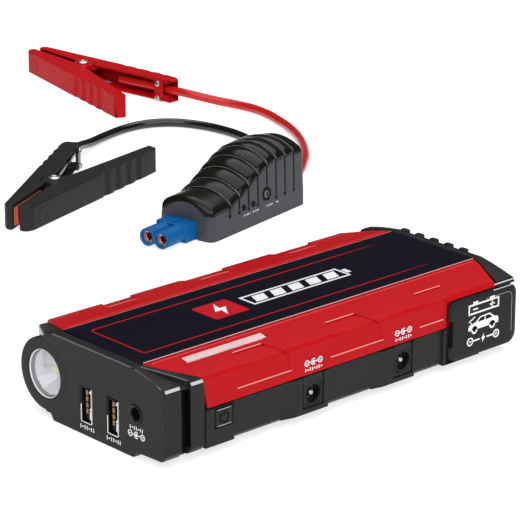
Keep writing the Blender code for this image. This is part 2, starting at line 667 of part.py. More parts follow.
def handle_pair(colour, at):
    stuff = f"{colour}_plastic"
    fixed = solid(f"{colour}_fixed_handle", prism(fixed_profile(), 0, CLAMP_T, "Z"), stuff, at)
    cut(fixed, channel(1))
    for z in ((-1, CLAMP_WALL + 0.15), (CLAMP_T - CLAMP_WALL - 0.15, 13)):
        cut(fixed, rod("Z", (0, 0), LOBE_R + 0.4, *z, 24))
    tab = circle((0, 0), 5.0, 16)[8:] + [(6.5, 5.0), (7.5, 12.0), (-7.5, 9.9), (-6.5, 5.0)]
    fuse(fixed, prism(tab, CLAMP_WALL + GAP, 3.1, "Z"), prism(tab, 8.4, CLAMP_T - CLAMP_WALL - GAP, "Z"))
    for z in ((0.3, 3.0), (CLAMP_T - 3.0, CLAMP_T - 0.3)):
        fuse(fixed, prism([(45.5, 11.0), (52.5, 12.4), (51.0, 19.2), (44.0, 18.1)], *z, "Z"))
    cut(fixed, rod("Z", (0, 0), PIN_R + GAP, -1, 13, 16))
    moving = solid(f"{colour}_moving_handle", prism(moving_profile(), 0, CLAMP_T, "Z"), stuff, at)
    cut(moving, channel(-1), rod("Z", (0, 0), PIN_R + GAP, -1, 13, 16))


def jaw(way):
    """Toothed contact strip of one jaw; way is the side that it lies on."""
    low, high = JAW_X
    pitch = (high - low) / TEETH
    outline = []
    for i in range(TEETH):
        outline += [(low + pitch * i, way * 1.3), (low + pitch * (i + 0.5), way * 0.25)]
    outline += [(high, way * 1.3), (high, way * 3.2), (low, way * 3.2)]
    return prism(outline, CLAMP_WALL + GAP, CLAMP_T - CLAMP_WALL - GAP, "Z")


def torsion_spring(name, at):
    """Three and a half turns round the pivot, with one leg along each handle."""
    turns, radius, low, high = 3.5, 3.3, 4.0, 7.5
    steps = round(12 * turns)
    points = [(16.0, 5.8, low), (9.0, 4.6, low)]
    for i in range(steps + 1):
        a = math.radians(75) + math.tau * i / 12
        points.append((radius * math.cos(a), radius * math.sin(a), low + (high - low) * i / steps))
    points += [(9.0, -7.6, high), (16.0, -10.2, high)]
    wire(name, points, 0.5, "plated_steel", 1, at)


def clamp(colour):
    spot, yaw = CLAMPS[colour]
    at = frame(f"{colour}_clamp_frame", spot, yaw)
    handle_pair(colour, at)
    solid(f"{colour}_fixed_jaw", jaw(1), "copper", at)
    solid(f"{colour}_moving_jaw", jaw(-1), "copper", at)
    pin = solid(f"{colour}_pivot_pin", rod("Z", (0, 0), PIN_R, 0.3, 12.0), "plated_steel", at)
    fuse(pin, cone("Z", (0, 0), (2.6, 1.8), CLAMP_T + GAP, 12.6, 16))
    torsion_spring(f"{colour}_spring", at)
    edge = frame(f"{colour}_strap_frame", (49.0, 11.4), GRIP_ANGLE, at)
    strap = box((-2.6, 2.6), (-1.5, -0.3), (0.6, CLAMP_T - 0.6))
    solid(f"{colour}_cable_strap", strap, "plated_steel" if colour == "black" else "red_plastic", edge)
    for number, z in ((1, 2.1), (2, CLAMP_T - 2.1)):
        screw = solid(f"{colour}_strap_screw_{number}", cone("Y", (0.0, z), (1.2, 1.5), -2.6, -1.8, 12),
                      "plated_steel", edge)
        cut(bpy.data.objects[f"{colour}_cable_strap"], rod("Y", (0.0, z), 1.0, -3, 1, 12))
        fuse(screw, rod("Y", (0.0, z), 0.6, -2.0, -0.4, 8))


def cables():
    for colour, route in (("red", RED_ROUTE), ("black", BLACK_ROUTE)):
        wire(f"{colour}_cable", smooth_route(route, 5.0), CABLE_R, f"cable_{colour}", 2)


def main():
    clear_scene()
    lower_case()
    upper_frame()
    panels()
    port_end_cap()
    far_end_cap()
    label_plate()
    charge_window()
    case_screws()
    lamp()
    usb_ports()
    charge_jack()
    output_jacks()
    power_button()
    jump_socket()
    socket_cover()
    main_board()
    battery_cells()
    at = frame("control_box_frame", BOX_AT, BOX_YAW)
    control_box(at)
    blue_plug(at)
    cable_boot(at)
    for colour in CLAMPS:
        clamp(colour)
    cables()


main()
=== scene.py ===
# The looks of the jump starter pack and its jumper lead set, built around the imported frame.
# Shapes are written in millimetres and meshes are made in metres. Places come from the frame.
import json
import math

import bmesh
import bpy
from mathutils import Matrix, Vector

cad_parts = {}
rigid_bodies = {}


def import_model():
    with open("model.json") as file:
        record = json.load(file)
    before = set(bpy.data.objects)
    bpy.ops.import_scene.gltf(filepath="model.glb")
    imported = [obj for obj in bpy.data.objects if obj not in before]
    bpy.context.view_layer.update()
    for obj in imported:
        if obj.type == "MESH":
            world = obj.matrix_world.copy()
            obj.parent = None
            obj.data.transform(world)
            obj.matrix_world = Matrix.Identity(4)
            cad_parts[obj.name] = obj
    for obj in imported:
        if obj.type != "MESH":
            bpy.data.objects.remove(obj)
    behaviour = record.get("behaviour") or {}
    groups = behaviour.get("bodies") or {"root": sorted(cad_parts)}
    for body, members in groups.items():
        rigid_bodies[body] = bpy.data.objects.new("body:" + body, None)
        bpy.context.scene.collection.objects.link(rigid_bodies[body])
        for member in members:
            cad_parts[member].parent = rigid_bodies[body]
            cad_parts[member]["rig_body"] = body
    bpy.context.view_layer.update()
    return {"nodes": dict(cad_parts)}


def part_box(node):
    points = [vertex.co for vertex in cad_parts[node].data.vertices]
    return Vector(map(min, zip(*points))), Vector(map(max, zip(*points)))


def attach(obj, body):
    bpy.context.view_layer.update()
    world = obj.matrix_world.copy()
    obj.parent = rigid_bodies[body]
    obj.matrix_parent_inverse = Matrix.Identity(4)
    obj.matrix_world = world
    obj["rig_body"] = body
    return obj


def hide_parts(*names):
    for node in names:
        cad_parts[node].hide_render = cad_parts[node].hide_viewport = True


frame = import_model()

MM = 0.001
HERE = Matrix.Identity(4)
HALF_TURN = Matrix.Rotation(math.pi, 4, "Z")


# ---- places from the frame

def span(node):
    low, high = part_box(node)
    return low / MM, high / MM


def middle(node):
    low, high = span(node)
    return (low + high) / 2


def local(node, yaw):
    """Frame on the floor under the middle of a node, turned about the vertical."""
    spot = middle(node)
    return Matrix.Translation((spot.x * MM, spot.y * MM, 0.0)) @ Matrix.Rotation(yaw, 4, "Z")


def facing(origin, right, up):
    """Frame of a flat graphic: its origin in mm, its right and up directions."""
    right, up = Vector(right).normalized(), Vector(up).normalized()
    out = right.cross(up)
    turn = Matrix((right, up, out)).transposed().to_4x4()
    return Matrix.Translation(Vector(origin) * MM) @ turn


BOX_AT = local("box_base", math.radians(12.0))
CLAMP_AT = {
    "black": local("black_pivot_pin", math.radians(27.7)),
    "red": local("red_pivot_pin", math.radians(-92.4)),
}
CLAMP_T = 11.5             # thickness of a clamp, which lies on its side

CAP_LOW, CAP_HIGH = span("port_end_cap")
SIDE_Y = -span("front_panel")[0].y      # half width over the red panels
TOP_Z = span("label_plate")[1].z
CREASE_Y = 21.8                         # where the flat top turns into the shoulder
SHOULDER_Y, SHOULDER_Z = 37.4, 29.4     # outer edge of the shoulder
REAR_LIFT = 1.8                         # extra height of the rear panel's shoulder
CAP_EDGE = (-38.55, 28.42)              # y and z of the long front edge of the end caps
FRONT_VIEW = ((1, 0, 0), (0, 0, 1))     # right and up of a graphic that faces the front
PORT_VIEW = ((0, -1, 0), (0, 0, 1))     # the same on the port end


# ---- materials

def rough_material(name, colour, roughness, bump, mottle, specular, metallic=0.0, grain=1800, coat=0.0,
                   spread=0.06):
    """Surface with fine moulded grain, slightly uneven colour and slightly uneven gloss."""
    made = bpy.data.materials.new(name)
    made.use_nodes = True
    nodes, links = made.node_tree.nodes, made.node_tree.links
    shader = nodes["Principled BSDF"]
    shader.inputs["Metallic"].default_value = metallic
    shader.inputs["Specular IOR Level"].default_value = specular
    shader.inputs["Coat Weight"].default_value = coat
    shader.inputs["Coat Roughness"].default_value = 0.08
    place = nodes.new("ShaderNodeTexCoord")
    patches, fine = nodes.new("ShaderNodeTexNoise"), nodes.new("ShaderNodeTexNoise")
    for noise, scale, detail in ((patches, 60.0, 3.0), (fine, grain, 2.0)):
        noise.inputs["Scale"].default_value = scale
        noise.inputs["Detail"].default_value = detail
        links.new(place.outputs["Object"], noise.inputs["Vector"])
    ramp = nodes.new("ShaderNodeValToRGB")
    darker, lighter = ramp.color_ramp.elements
    darker.position, lighter.position = 0.3, 0.7
    darker.color = (*[c * (1 - mottle) for c in colour], 1)
    lighter.color = (*[min(1, c * (1 + mottle)) for c in colour], 1)
    links.new(patches.outputs["Fac"], ramp.inputs["Fac"])
    links.new(ramp.outputs["Color"], shader.inputs["Base Color"])
    gloss = nodes.new("ShaderNodeMapRange")
    gloss.inputs["To Min"].default_value = max(0.02, roughness - spread)
    gloss.inputs["To Max"].default_value = roughness + spread
    links.new(patches.outputs["Fac"], gloss.inputs["Value"])
    links.new(gloss.outputs["Result"], shader.inputs["Roughness"])
    relief = nodes.new("ShaderNodeBump")
    relief.inputs["Strength"].default_value = bump
    relief.inputs["Distance"].default_value = 0.00012
    links.new(fine.outputs["Fac"], relief.inputs["Height"])
    links.new(relief.outputs["Normal"], shader.inputs["Normal"])
    return made


# Colour, roughness, bump, unevenness of colour, specular; then metallic, grain scale and coat where unusual
LOOKS = {
    "black_plastic": ((0.0165, 0.016, 0.0162), 0.46, 0.25, 0.08, 0.16, 0.0, 2600),
    "gloss_black": ((0.0070, 0.0070, 0.0050), 0.2, 0.05, 0.08, 0.22),
    "wall_grey": ((0.052, 0.054, 0.062), 0.46, 0.2, 0.08, 0.2, 0.0, 2600),
    # Near-black for painted shade in grooves, slots and holes, and also for dark print.
    "painted_shade_and_print_black": ((0.003, 0.003, 0.003), 0.6, 0.06, 0.08, 0.1),
    "red_plastic": ((0.455, 0.0048, 0.0090), 0.42, 0.18, 0.03, 0.07, 0.0, 2400),
    # The next four colours are painted highlights: light strips laid along edges and rims where they catch
    # the light.
    "painted_red_highlight": ((0.72, 0.06, 0.065), 0.4, 0.06, 0.03, 0.2),
    "painted_highlight_pink": ((0.80, 0.27, 0.26), 0.35, 0.06, 0.05, 0.5),
    "painted_highlight_grey": ((0.30, 0.28, 0.30), 0.35, 0.06, 0.05, 0.5),
    "painted_highlight_pale": ((0.52, 0.52, 0.53), 0.35, 0.06, 0.05, 0.5),
    "navy_label": ((0.0040, 0.0036, 0.0092), 0.3, 0.02, 0.08, 0.1),
    "label_red": ((0.50, 0.008, 0.020), 0.3, 0.02, 0.03, 0.15),
    # White print; it also makes the painted highlight round the mouths of the USB sockets.
    "print_and_highlight_white": ((0.86, 0.86, 0.86), 0.4, 0.03, 0.02, 0.5),
    "window_plastic": ((0.72, 0.48, 0.49), 0.3, 0.04, 0.06, 0.3),
    "cover_rubber": ((0.0150, 0.0142, 0.0145), 0.5, 0.3, 0.08, 0.14, 0.0, 3000),
    "reflector_chrome": ((0.80, 0.80, 0.87), 0.3, 0.03, 0.02, 0.5, 0.3),
    "led_phosphor": ((0.70, 0.78, 0.28), 0.4, 0.06, 0.08, 0.2),
    # Plated metal; it also makes the painted highlights along the power button's top and bottom edges.
    "plated_steel": ((0.50, 0.50, 0.51), 0.34, 0.12, 0.08, 0.5, 1.0),
    "dark_steel": ((0.06, 0.06, 0.062), 0.35, 0.1, 0.08, 0.5, 1.0),
    "pale_metal": ((0.85, 0.78, 0.66), 0.3, 0.05, 0.08, 0.5, 1.0),
    "gold": ((0.34, 0.21, 0.10), 0.35, 0.06, 0.08, 0.5, 1.0),
    "copper": ((0.78, 0.29, 0.22), 0.36, 0.1, 0.15, 0.5, 1.0),
    "board_green": ((0.02, 0.12, 0.05), 0.5, 0.06, 0.08, 0.5),
    "cell_foil": ((0.45, 0.46, 0.48), 0.35, 0.2, 0.08, 0.5, 1.0, 900),
    "plug_blue": ((0.0012, 0.095, 0.29), 0.42, 0.15, 0.05, 0.15, 0.0, 2600),
    "cable_red": ((0.50, 0.010, 0.008), 0.26, 0.06, 0.04, 0.4),
    "cable_black": ((0.006, 0.006, 0.006), 0.16, 0.04, 0.08, 0.5, 0.0, 1800, 0.15),
}
STUFF = {name: rough_material(name, *look) for name, look in LOOKS.items()}
STUFF["clear_lens"] = rough_material("clear_lens", (0.98, 0.98, 1.0), 0.03, 0.02, 0.01, 0.5, spread=0.01)
STUFF["clear_lens"].node_tree.nodes["Principled BSDF"].inputs["Alpha"].default_value = 0.16


# ---- shape tools, in millimetres

def stack(rings, loop=False):
    """Solid through rings with equal numbers of points; a looped one joins its last ring to its first."""
    shape = bmesh.new()
    loops = [[shape.verts.new(point) for point in ring] for ring in rings]
    count = len(rings[0])
    pairs = list(zip(loops, loops[1:])) + ([(loops[-1], loops[0])] if loop else [])
    for low, high in pairs:
        for i in range(count):
            j = (i + 1) % count
            shape.faces.new((low[i], low[j], high[j], high[i]))
    if not loop:
        shape.faces.new(reversed(loops[0]))
        shape.faces.new(loops[-1])
    bmesh.ops.recalc_face_normals(shape, faces=shape.faces)
    return shape


def along(axis, u, v, w):
    """Point whose height over the u, v plane runs along an axis."""
    return {"X": (w, u, v), "Y": (u, w, v), "Z": (u, v, w)}[axis]


def prism(outline, low, high, axis="Z"):
    return stack([[along(axis, u, v, w) for u, v in outline] for w in (low, high)])


def box(x, y, z):
    return prism([(x[0], y[0]), (x[1], y[0]), (x[1], y[1]), (x[0], y[1])], z[0], z[1])


def circle(centre, radius, sides, start=0.0, turn=math.tau):
    steps = sides if turn == math.tau else sides + 1
    angles = [start + turn * i / sides for i in range(steps)]
    return [(centre[0] + radius * math.cos(a), centre[1] + radius * math.sin(a)) for a in angles]


def rod(axis, centre, radius, low, high, sides=32):
    return prism(circle(centre, radius, sides), low, high, axis)


def lathe(axis, centre, profile, sides):
    """Turned solid from a closed profile of (radius, height) points."""
    rings = []
    for i in range(sides):
        a = math.tau * i / sides
        rings.append([along(axis, centre[0] + r * math.cos(a), centre[1] + r * math.sin(a), h)
                      for r, h in profile])
    shape = stack(rings, loop=True)
    bmesh.ops.remove_doubles(shape, verts=shape.verts, dist=0.0001)
    bmesh.ops.recalc_face_normals(shape, faces=shape.faces)
    return shape


def rounded(low, high, radius, steps=4):
    """Outline of a rectangle with round corners."""
    corners = [((high[0] - radius, low[1] + radius), -90), ((high[0] - radius, high[1] - radius), 0),
               ((low[0] + radius, high[1] - radius), 90), ((low[0] + radius, low[1] + radius), 180)]
    outline = []
    for centre, start in corners:
        outline += circle(centre, radius, steps, math.radians(start), math.pi / 2)
    return outline


def pad(axis, low, high, bottom, top, radius, edge=0.4):
    """Rounded block whose top edge is rounded over too; top may be below bottom."""
    way = 1 if top > bottom else -1
    levels = [(0.0, bottom), (0.0, top - way * edge), (0.3 * edge, top - way * 0.3 * edge), (edge, top)]
    rings = []
    for inset, level in levels:
        outline = rounded((low[0] + inset, low[1] + inset), (high[0] - inset, high[1] - inset),
                          max(0.05, radius - inset))
        rings.append([along(axis, u, v, level) for u, v in outline])
    return stack(rings)


def merge(*shapes):
    """One bmesh holding several solids."""
    whole = shapes[0]
    for shape in shapes[1:]:
        spare = bpy.data.meshes.new("spare")
        shape.to_mesh(spare)
        shape.free()
        whole.from_mesh(spare)
        bpy.data.meshes.remove(spare)
    return whole


def turned(shape):
    """Half a turn about the vertical, from the front side to the rear one."""
    bmesh.ops.rotate(shape, verts=shape.verts, cent=(0, 0, 0), matrix=Matrix.Rotation(math.pi, 3, "Z"))
    return shape


def thing(name, shape, place):
    """Object from a bmesh in mm, which it uses up."""
    mesh = bpy.data.meshes.new(name)
    bmesh.ops.scale(shape, vec=(MM, MM, MM), verts=shape.verts)
    shape.to_mesh(mesh)
    shape.free()
    made = bpy.data.objects.new(name, mesh)
    bpy.context.scene.collection.objects.link(made)
    made.matrix_world = place
    return made


def bake(piece):
    """Applies the modifiers."""
    bpy.context.view_layer.update()
    mesh = bpy.data.meshes.new_from_object(piece.evaluated_get(bpy.context.evaluated_depsgraph_get()))
    piece.modifiers.clear()
    piece.data = mesh


def settle(piece, smooth=35.0):
    """Smooth shading with sharp edges, weighted so that flat faces stay flat."""
    piece.data.shade_smooth()
    piece.data.set_sharp_from_angle(angle=math.radians(smooth))
    step = piece.modifiers.new("normals", "WEIGHTED_NORMAL")
    step.keep_sharp = True
    step.weight = 100
    bake(piece)


def join_up(piece, operation, shapes):
    """Adds solids to a piece or cuts them from it."""
    tools = []
    for i, shape in enumerate(shapes):
        tools.append(thing(f"{piece.name}_tool_{i}", shape, piece.matrix_world.copy()))
    for tool in tools:
        step = piece.modifiers.new("cut", "BOOLEAN")
        step.operation = operation
        step.solver = "EXACT"
        step.object = tool
    bake(piece)
    for tool in tools:
        bpy.data.objects.remove(tool)


def soften(piece, width, angle, shortest):
    """Rounds the outer edges that are long and sharp enough."""
    shape = bmesh.new()
    shape.from_mesh(piece.data)
    bmesh.ops.remove_doubles(shape, verts=shape.verts, dist=0.000002)
    weights = shape.edges.layers.float.new("bevel_weight_edge")
    for edge in shape.edges:
        round_it = edge.is_manifold and edge.calc_face_angle_signed(0.0) > math.radians(angle)
        if round_it and edge.calc_length() > shortest * MM:
            edge[weights] = 1.0
    shape.to_mesh(piece.data)
    shape.free()
    step = piece.modifiers.new("edges", "BEVEL")
    step.width = width * MM
    step.segments = 2
    step.limit_method = "WEIGHT"
    step.use_clamp_overlap = False
    bake(piece)


def piece(name, shape, stuff, body="pack", place=HERE, cuts=(), adds=(), edge=0.0, angle=32.0, smooth=35.0,
          stands_for=(), shortest=2.5):
    """One visible piece in its body; edge is the rounding of its long edges."""
    made = thing(name, shape, place)
    made.data.materials.append(STUFF[stuff])
    if adds:
        join_up(made, "UNION", adds)
    if cuts:
        join_up(made, "DIFFERENCE", cuts)
    if edge:
        soften(made, edge, angle, shortest)
    settle(made, smooth)
    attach(made, body)
    if stands_for:
        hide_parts(*stands_for)
    return made


def from_cad(node):
    """The mesh of a CAD node in mm, with its split corners joined and its flat faces whole."""
    shape = bmesh.new()
    shape.from_mesh(frame["nodes"][node].data)
    bmesh.ops.remove_doubles(shape, verts=shape.verts, dist=0.000002)
    bmesh.ops.join_triangles(shape, faces=shape.faces, angle_face_threshold=math.radians(0.5),
                             angle_shape_threshold=math.pi)
    bmesh.ops.scale(shape, vec=(1 / MM, 1 / MM, 1 / MM), verts=shape.verts)
    return shape


def body_of(node):
    return frame["nodes"][node]["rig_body"]


def stand_in(node, shape, stuff, place=HERE, **how):
    """The visible piece that takes the place of a CAD piece."""
    return piece(f"{node}_fine", shape, stuff, body_of(node), place, stands_for=(node,), **how)


def finer(node, stuff, edge=0.3, cuts=(), place=None, angle=32.0, smooth=35.0, shortest=2.5):
    """A CAD piece remade with rounded edges; with a place, the cuts are in that frame."""
    shape = from_cad(node)
    if place is not None:
        bmesh.ops.scale(shape, vec=(MM, MM, MM), verts=shape.verts)
        bmesh.ops.transform(shape, matrix=place.inverted(), verts=shape.verts)
        bmesh.ops.scale(shape, vec=(1 / MM, 1 / MM, 1 / MM), verts=shape.verts)
    return stand_in(node, shape, stuff, place or HERE, cuts=cuts, edge=edge, angle=angle, smooth=smooth,
                    shortest=shortest)


# ---- flat graphics

def print_on(name, outlines, stuff, place, body="pack", lift=0.02, height=0.07):
    """Thin raised printing: closed outlines in the plane of a frame."""
    shapes = [prism(outline, lift, lift + height) for outline in outlines]
    return piece(name, merge(*shapes), stuff, body, place)


def bar(start, end, width):
    """Straight stroke between two points."""
    a, b = Vector(start), Vector(end)
    side = (b - a).normalized().orthogonal() * width / 2
    return [tuple(p) for p in (a + side, a - side, b - side, b + side)]


def arc_stroke(centre, radius, width, start=0.0, turn=math.tau, sides=28):
    """Round stroke as short bars that overlap slightly."""
    strokes = []
    for i in range(sides):
        a0, a1 = start + turn * (i - 0.02) / sides, start + turn * (i + 1.02) / sides
        p = [(centre[0] + r * math.cos(a), centre[1] + r * math.sin(a))
             for r, a in ((radius - width / 2, a0), (radius + width / 2, a0), (radius + width / 2, a1),
                          (radius - width / 2, a1))]
        strokes.append(p)
    return strokes


def plate(low, high):
    """Outline of a rectangle."""
    return [low, (high[0], low[1]), high, (low[0], high[1])]


def frame_stroke(low, high, width):
    """Four strokes round a rectangle."""
    (x0, y0), (x1, y1), w = low, high, width
    return [plate((x0, y0), (x1, y0 + w)), plate((x0, y1 - w), (x1, y1)),
            plate((x0, y0 + w), (x0 + w, y1 - w)), plate((x1 - w, y0 + w), (x1, y1 - w))]


def polarity_mark(width):
    """Generic polarity sign of a barrel jack: minus ring, centre contact, plus ring."""
    r, line = width * 0.12, width * 0.045
    side, hub = width / 2 - r, r * 0.55
    marks = arc_stroke((-side, 0), r, line) + arc_stroke((side, 0), r, line) + [circle((0, 0), r * 0.62, 16)]
    marks += arc_stroke((0, 0), r * 1.1, line, math.radians(50), math.radians(260))
    half = r / 2
    dashes = ((-side + r, -hub), (hub, side - r), (-side - half, -side + half), (side - half, side + half))
    marks += [bar((x0, 0), (x1, 0), line) for x0, x1 in dashes]
    return marks + [bar((side, -r / 2), (side, r / 2), line)]


def small_marks(width, height, count=6):
    """Row of short upright and level dashes where the real object has a rating."""
    pitch = width / count
    marks = []
    for i in range(count):
        x = -width / 2 + pitch * (i + 0.5)
        if i % 3 == 1:
            marks.append(bar((x - pitch * 0.35, 0), (x + pitch * 0.35, 0), height * 0.3))
        else:
            marks.append(bar((x, -height / 2), (x, height / 2), pitch * 0.34))
    return marks


def bolt(size):
    """Lightning bolt outline, size tall."""
    points = [(0.12, 0.5), (-0.30, -0.08), (-0.04, -0.08), (-0.12, -0.5), (0.30, 0.10), (0.04, 0.10)]
    return [[(x * size, y * size) for x, y in points]]


# ---- camera, stage and light

CAMERA_TARGET = Vector((0.0832, 0.09955, 0.0))
CAMERA_DISTANCE = 1.1044
CAMERA_AZIMUTH, CAMERA_ELEVATION = math.radians(-42.18), math.radians(19.15)
LENS = 184.3


def direction(azimuth, elevation):
    """Unit vector from the object towards a light or the camera; azimuth 0 is -Y and grows to +X."""
    a, e = azimuth, elevation
    return Vector((math.sin(a) * math.cos(e), -math.cos(a) * math.cos(e), math.sin(e)))


def camera():
    data = bpy.data.cameras.new("camera")
    data.sensor_width = 36.0
    data.lens = LENS
    data.clip_start, data.clip_end = 0.1, 20.0
    made = bpy.data.objects.new("camera", data)
    bpy.context.scene.collection.objects.link(made)
    back = direction(CAMERA_AZIMUTH, CAMERA_ELEVATION)
    made.location = CAMERA_TARGET + back * CAMERA_DISTANCE
    made.rotation_mode = "QUATERNION"
    made.rotation_quaternion = (-back).to_track_quat("-Z", "Y")
    bpy.context.scene.camera = made


def sun(name, azimuth, elevation, strength, angle):
    data = bpy.data.lights.new(name, "SUN")
    data.energy = strength
    data.angle = math.radians(angle)
    made = bpy.data.objects.new(name, data)
    bpy.context.scene.collection.objects.link(made)
    made.rotation_mode = "QUATERNION"
    toward = direction(math.radians(azimuth), math.radians(elevation))
    made.rotation_quaternion = (-toward).to_track_quat("-Z", "Y")


def stage():
    """White floor and sky, and three wide suns."""
    shape = bmesh.new()
    bmesh.ops.create_grid(shape, x_segments=1, y_segments=1, size=6000.0)
    floor = thing("floor", shape, HERE)
    pale = rough_material("floor", (0.45, 0.45, 0.45), 0.9, 0.0, 0.0, 0.0, grain=300)
    shader = pale.node_tree.nodes["Principled BSDF"]
    shader.inputs["Emission Color"].default_value = (1, 1, 1, 1)
    shader.inputs["Emission Strength"].default_value = 0.72
    floor.data.materials.append(pale)
    world = bpy.data.worlds.new("studio")
    world.use_nodes = True
    sky = world.node_tree.nodes["Background"]
    sky.inputs["Color"].default_value = (1, 1, 1, 1)
    sky.inputs["Strength"].default_value = 0.06
    bpy.context.scene.world = world
    sun("key", -62.0, 42.0, 1.5, 50.0)
    sun("front", -5.0, 35.0, 1.4, 50.0)
    sun("top", 120.0, 72.0, 1.7, 60.0)
    bpy.context.scene.view_settings.view_transform = "Standard"


# ---- cables

CABLE_R = 2.1
# The routes of the frame's cables: box end first, then the loose curve, then the clamp
RED_ROUTE = [
    (156.6, 161.1, 8.0), (161.2, 162.1, 8.0), (166.4, 165.1, 7.9), (173.0, 170.7, 7.7),
    (181.6, 178.6, 7.2), (190.8, 188.8, 6.3), (199.8, 199.8, 5.2), (207.8, 210.8, 4.1),
    (215.1, 222.2, 3.1), (221.0, 233.5, 2.4), (225.0, 244.0, 2.2), (228.4, 256.0, 2.2),
    (229.6, 267.6, 2.2), (227.8, 278.0, 2.4), (223.6, 286.6, 3.2), (218.6, 293.6, 4.7),
    (215.3, 300.2, 5.7), (213.9, 307.9, 5.75), (211.2, 325.0, 5.75), (208.3, 343.1, 5.75),
]
BLACK_ROUTE = [
    (155.4, 167.0, 8.0), (159.7, 168.2, 7.6), (163.6, 171.8, 6.2), (167.0, 178.0, 4.1),
    (171.6, 186.4, 2.6), (178.0, 197.0, 2.2), (184.6, 209.0, 2.2), (190.2, 222.0, 2.2),
    (193.6, 236.6, 2.2), (193.6, 251.0, 2.2), (190.4, 264.4, 2.2), (184.0, 275.2, 2.2),
    (173.6, 281.4, 2.2), (160.6, 282.2, 2.2), (146.4, 278.6, 2.4), (132.2, 272.6, 3.2),
    (121.6, 267.2, 4.9), (115.5, 262.9, 5.75), (109.2, 257.9, 5.75), (95.7, 247.0, 5.75),
    (81.6, 235.3, 5.75),
]


def smooth_route(route, steps=10):
    """Points along the Catmull-Rom curve through a route."""
    knots = [Vector(p) for p in route]
    knots = [2 * knots[0] - knots[1]] + knots + [2 * knots[-1] - knots[-2]]
    fine = []
    for a, b, c, d in zip(knots, knots[1:], knots[2:], knots[3:]):
        for i in range(steps):
            t = i / steps
            fine.append(0.5 * (2 * b + (c - a) * t + (2 * a - 5 * b + 4 * c - d) * t**2
                               + (3 * b - a - 3 * c + d) * t**3))
    return fine + [knots[-2]]


def wire(name, points, radius, stuff, body, resolution=6, place=HERE, stands_for=()):
    """Round bar along points, as a curve with closed ends."""
    curve = bpy.data.curves.new(name, "CURVE")
    curve.dimensions = "3D"
    curve.bevel_depth = radius * MM
    curve.bevel_resolution = resolution
    curve.use_fill_caps = True
    spline = curve.splines.new("POLY")
    spline.points.add(len(points) - 1)
    for spot, point in zip(spline.points, points):
        spot.co = (*(Vector(point) * MM), 1.0)
    spline.use_smooth = True
    made = bpy.data.objects.new(name, curve)
    bpy.context.scene.collection.objects.link(made)
    made.matrix_world = place
    curve.materials.append(STUFF[stuff])
    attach(made, body)
    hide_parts(*stands_for)
    return made


def cables():
    for colour, route in (("red", RED_ROUTE), ("black", BLACK_ROUTE)):
        node = f"{colour}_cable"
        made = wire(f"{node}_fine", smooth_route(route), CABLE_R, f"cable_{colour}", "lead_set",
                    stands_for=(node,))


camera()
stage()
cables()


# ---- red panels

def shoulder(y, lift=0.0):
    """Height of the outer skin over the shoulder, which is slightly domed."""
    t = (y - CREASE_Y) / (SHOULDER_Y - CREASE_Y)
    return TOP_Z - (TOP_Z - SHOULDER_Z) * (0.75 * t + 0.25 * t * t) + lift * t


RECESS_DEPTH = 0.5
RECESS_LOW_Z, RECESS_TOP_Y = 20.7, 31.0
# Bottom and top x ranges of the three recesses of a panel
RECESSES = [(-53.5, -26.0, -48.6, -35.4), (-9.5, 18.9, -4.5, 9.1), (35.0, 48.7, 40.0, 53.4)]


def recess_rows(lift):
    """(y, z, share of the way up) along the skin from the bottom edge of a recess to its top edge."""
    rows = [(SIDE_Y, RECESS_LOW_Z), (SIDE_Y, RECESS_LOW_Z + 0.8), (SIDE_Y, 28.0 + lift)]
    rows.append((SHOULDER_Y + 0.1, SHOULDER_Z + lift))
    rows += [(y, shoulder(y, lift)) for y in (34.2, RECESS_TOP_Y + 0.6, RECESS_TOP_Y)]
    return [(y, z, i / (len(rows) - 1)) for i, (y, z) in enumerate(rows)]


def recess_cutter(bottom_x0, bottom_x1, top_x0, top_x1, lift):
    """Shallow trapezoid pocket that follows the folded skin, with sloping ends."""
    rows = recess_rows(lift)
    rings = []
    for number, (y, z, t) in enumerate(rows):
        depth = 0.0 if number in (0, len(rows) - 1) else RECESS_DEPTH
        left = bottom_x0 + (top_x0 - bottom_x0) * t
        right = bottom_x1 + (top_x1 - bottom_x1) * t
        over = 1.0 if y < SIDE_Y else 0.0
        outer = [(left - 0.3, -y - 2.0, z + over), (right + 0.3, -y - 2.0, z + over)]
        inner = [(right - 0.3, depth - y, z - depth * over), (left + 0.3, depth - y, z - depth * over)]
        rings.append(outer + inner)
    return stack(rings)


def on_slope(y, lift=0.0):
    """Frame of a flat graphic on the front shoulder at y."""
    rise = shoulder(y - 0.5, lift) - shoulder(y + 0.5, lift)
    return facing((0, -y, shoulder(y, lift)), (1, 0, 0), (0, 1, rise))


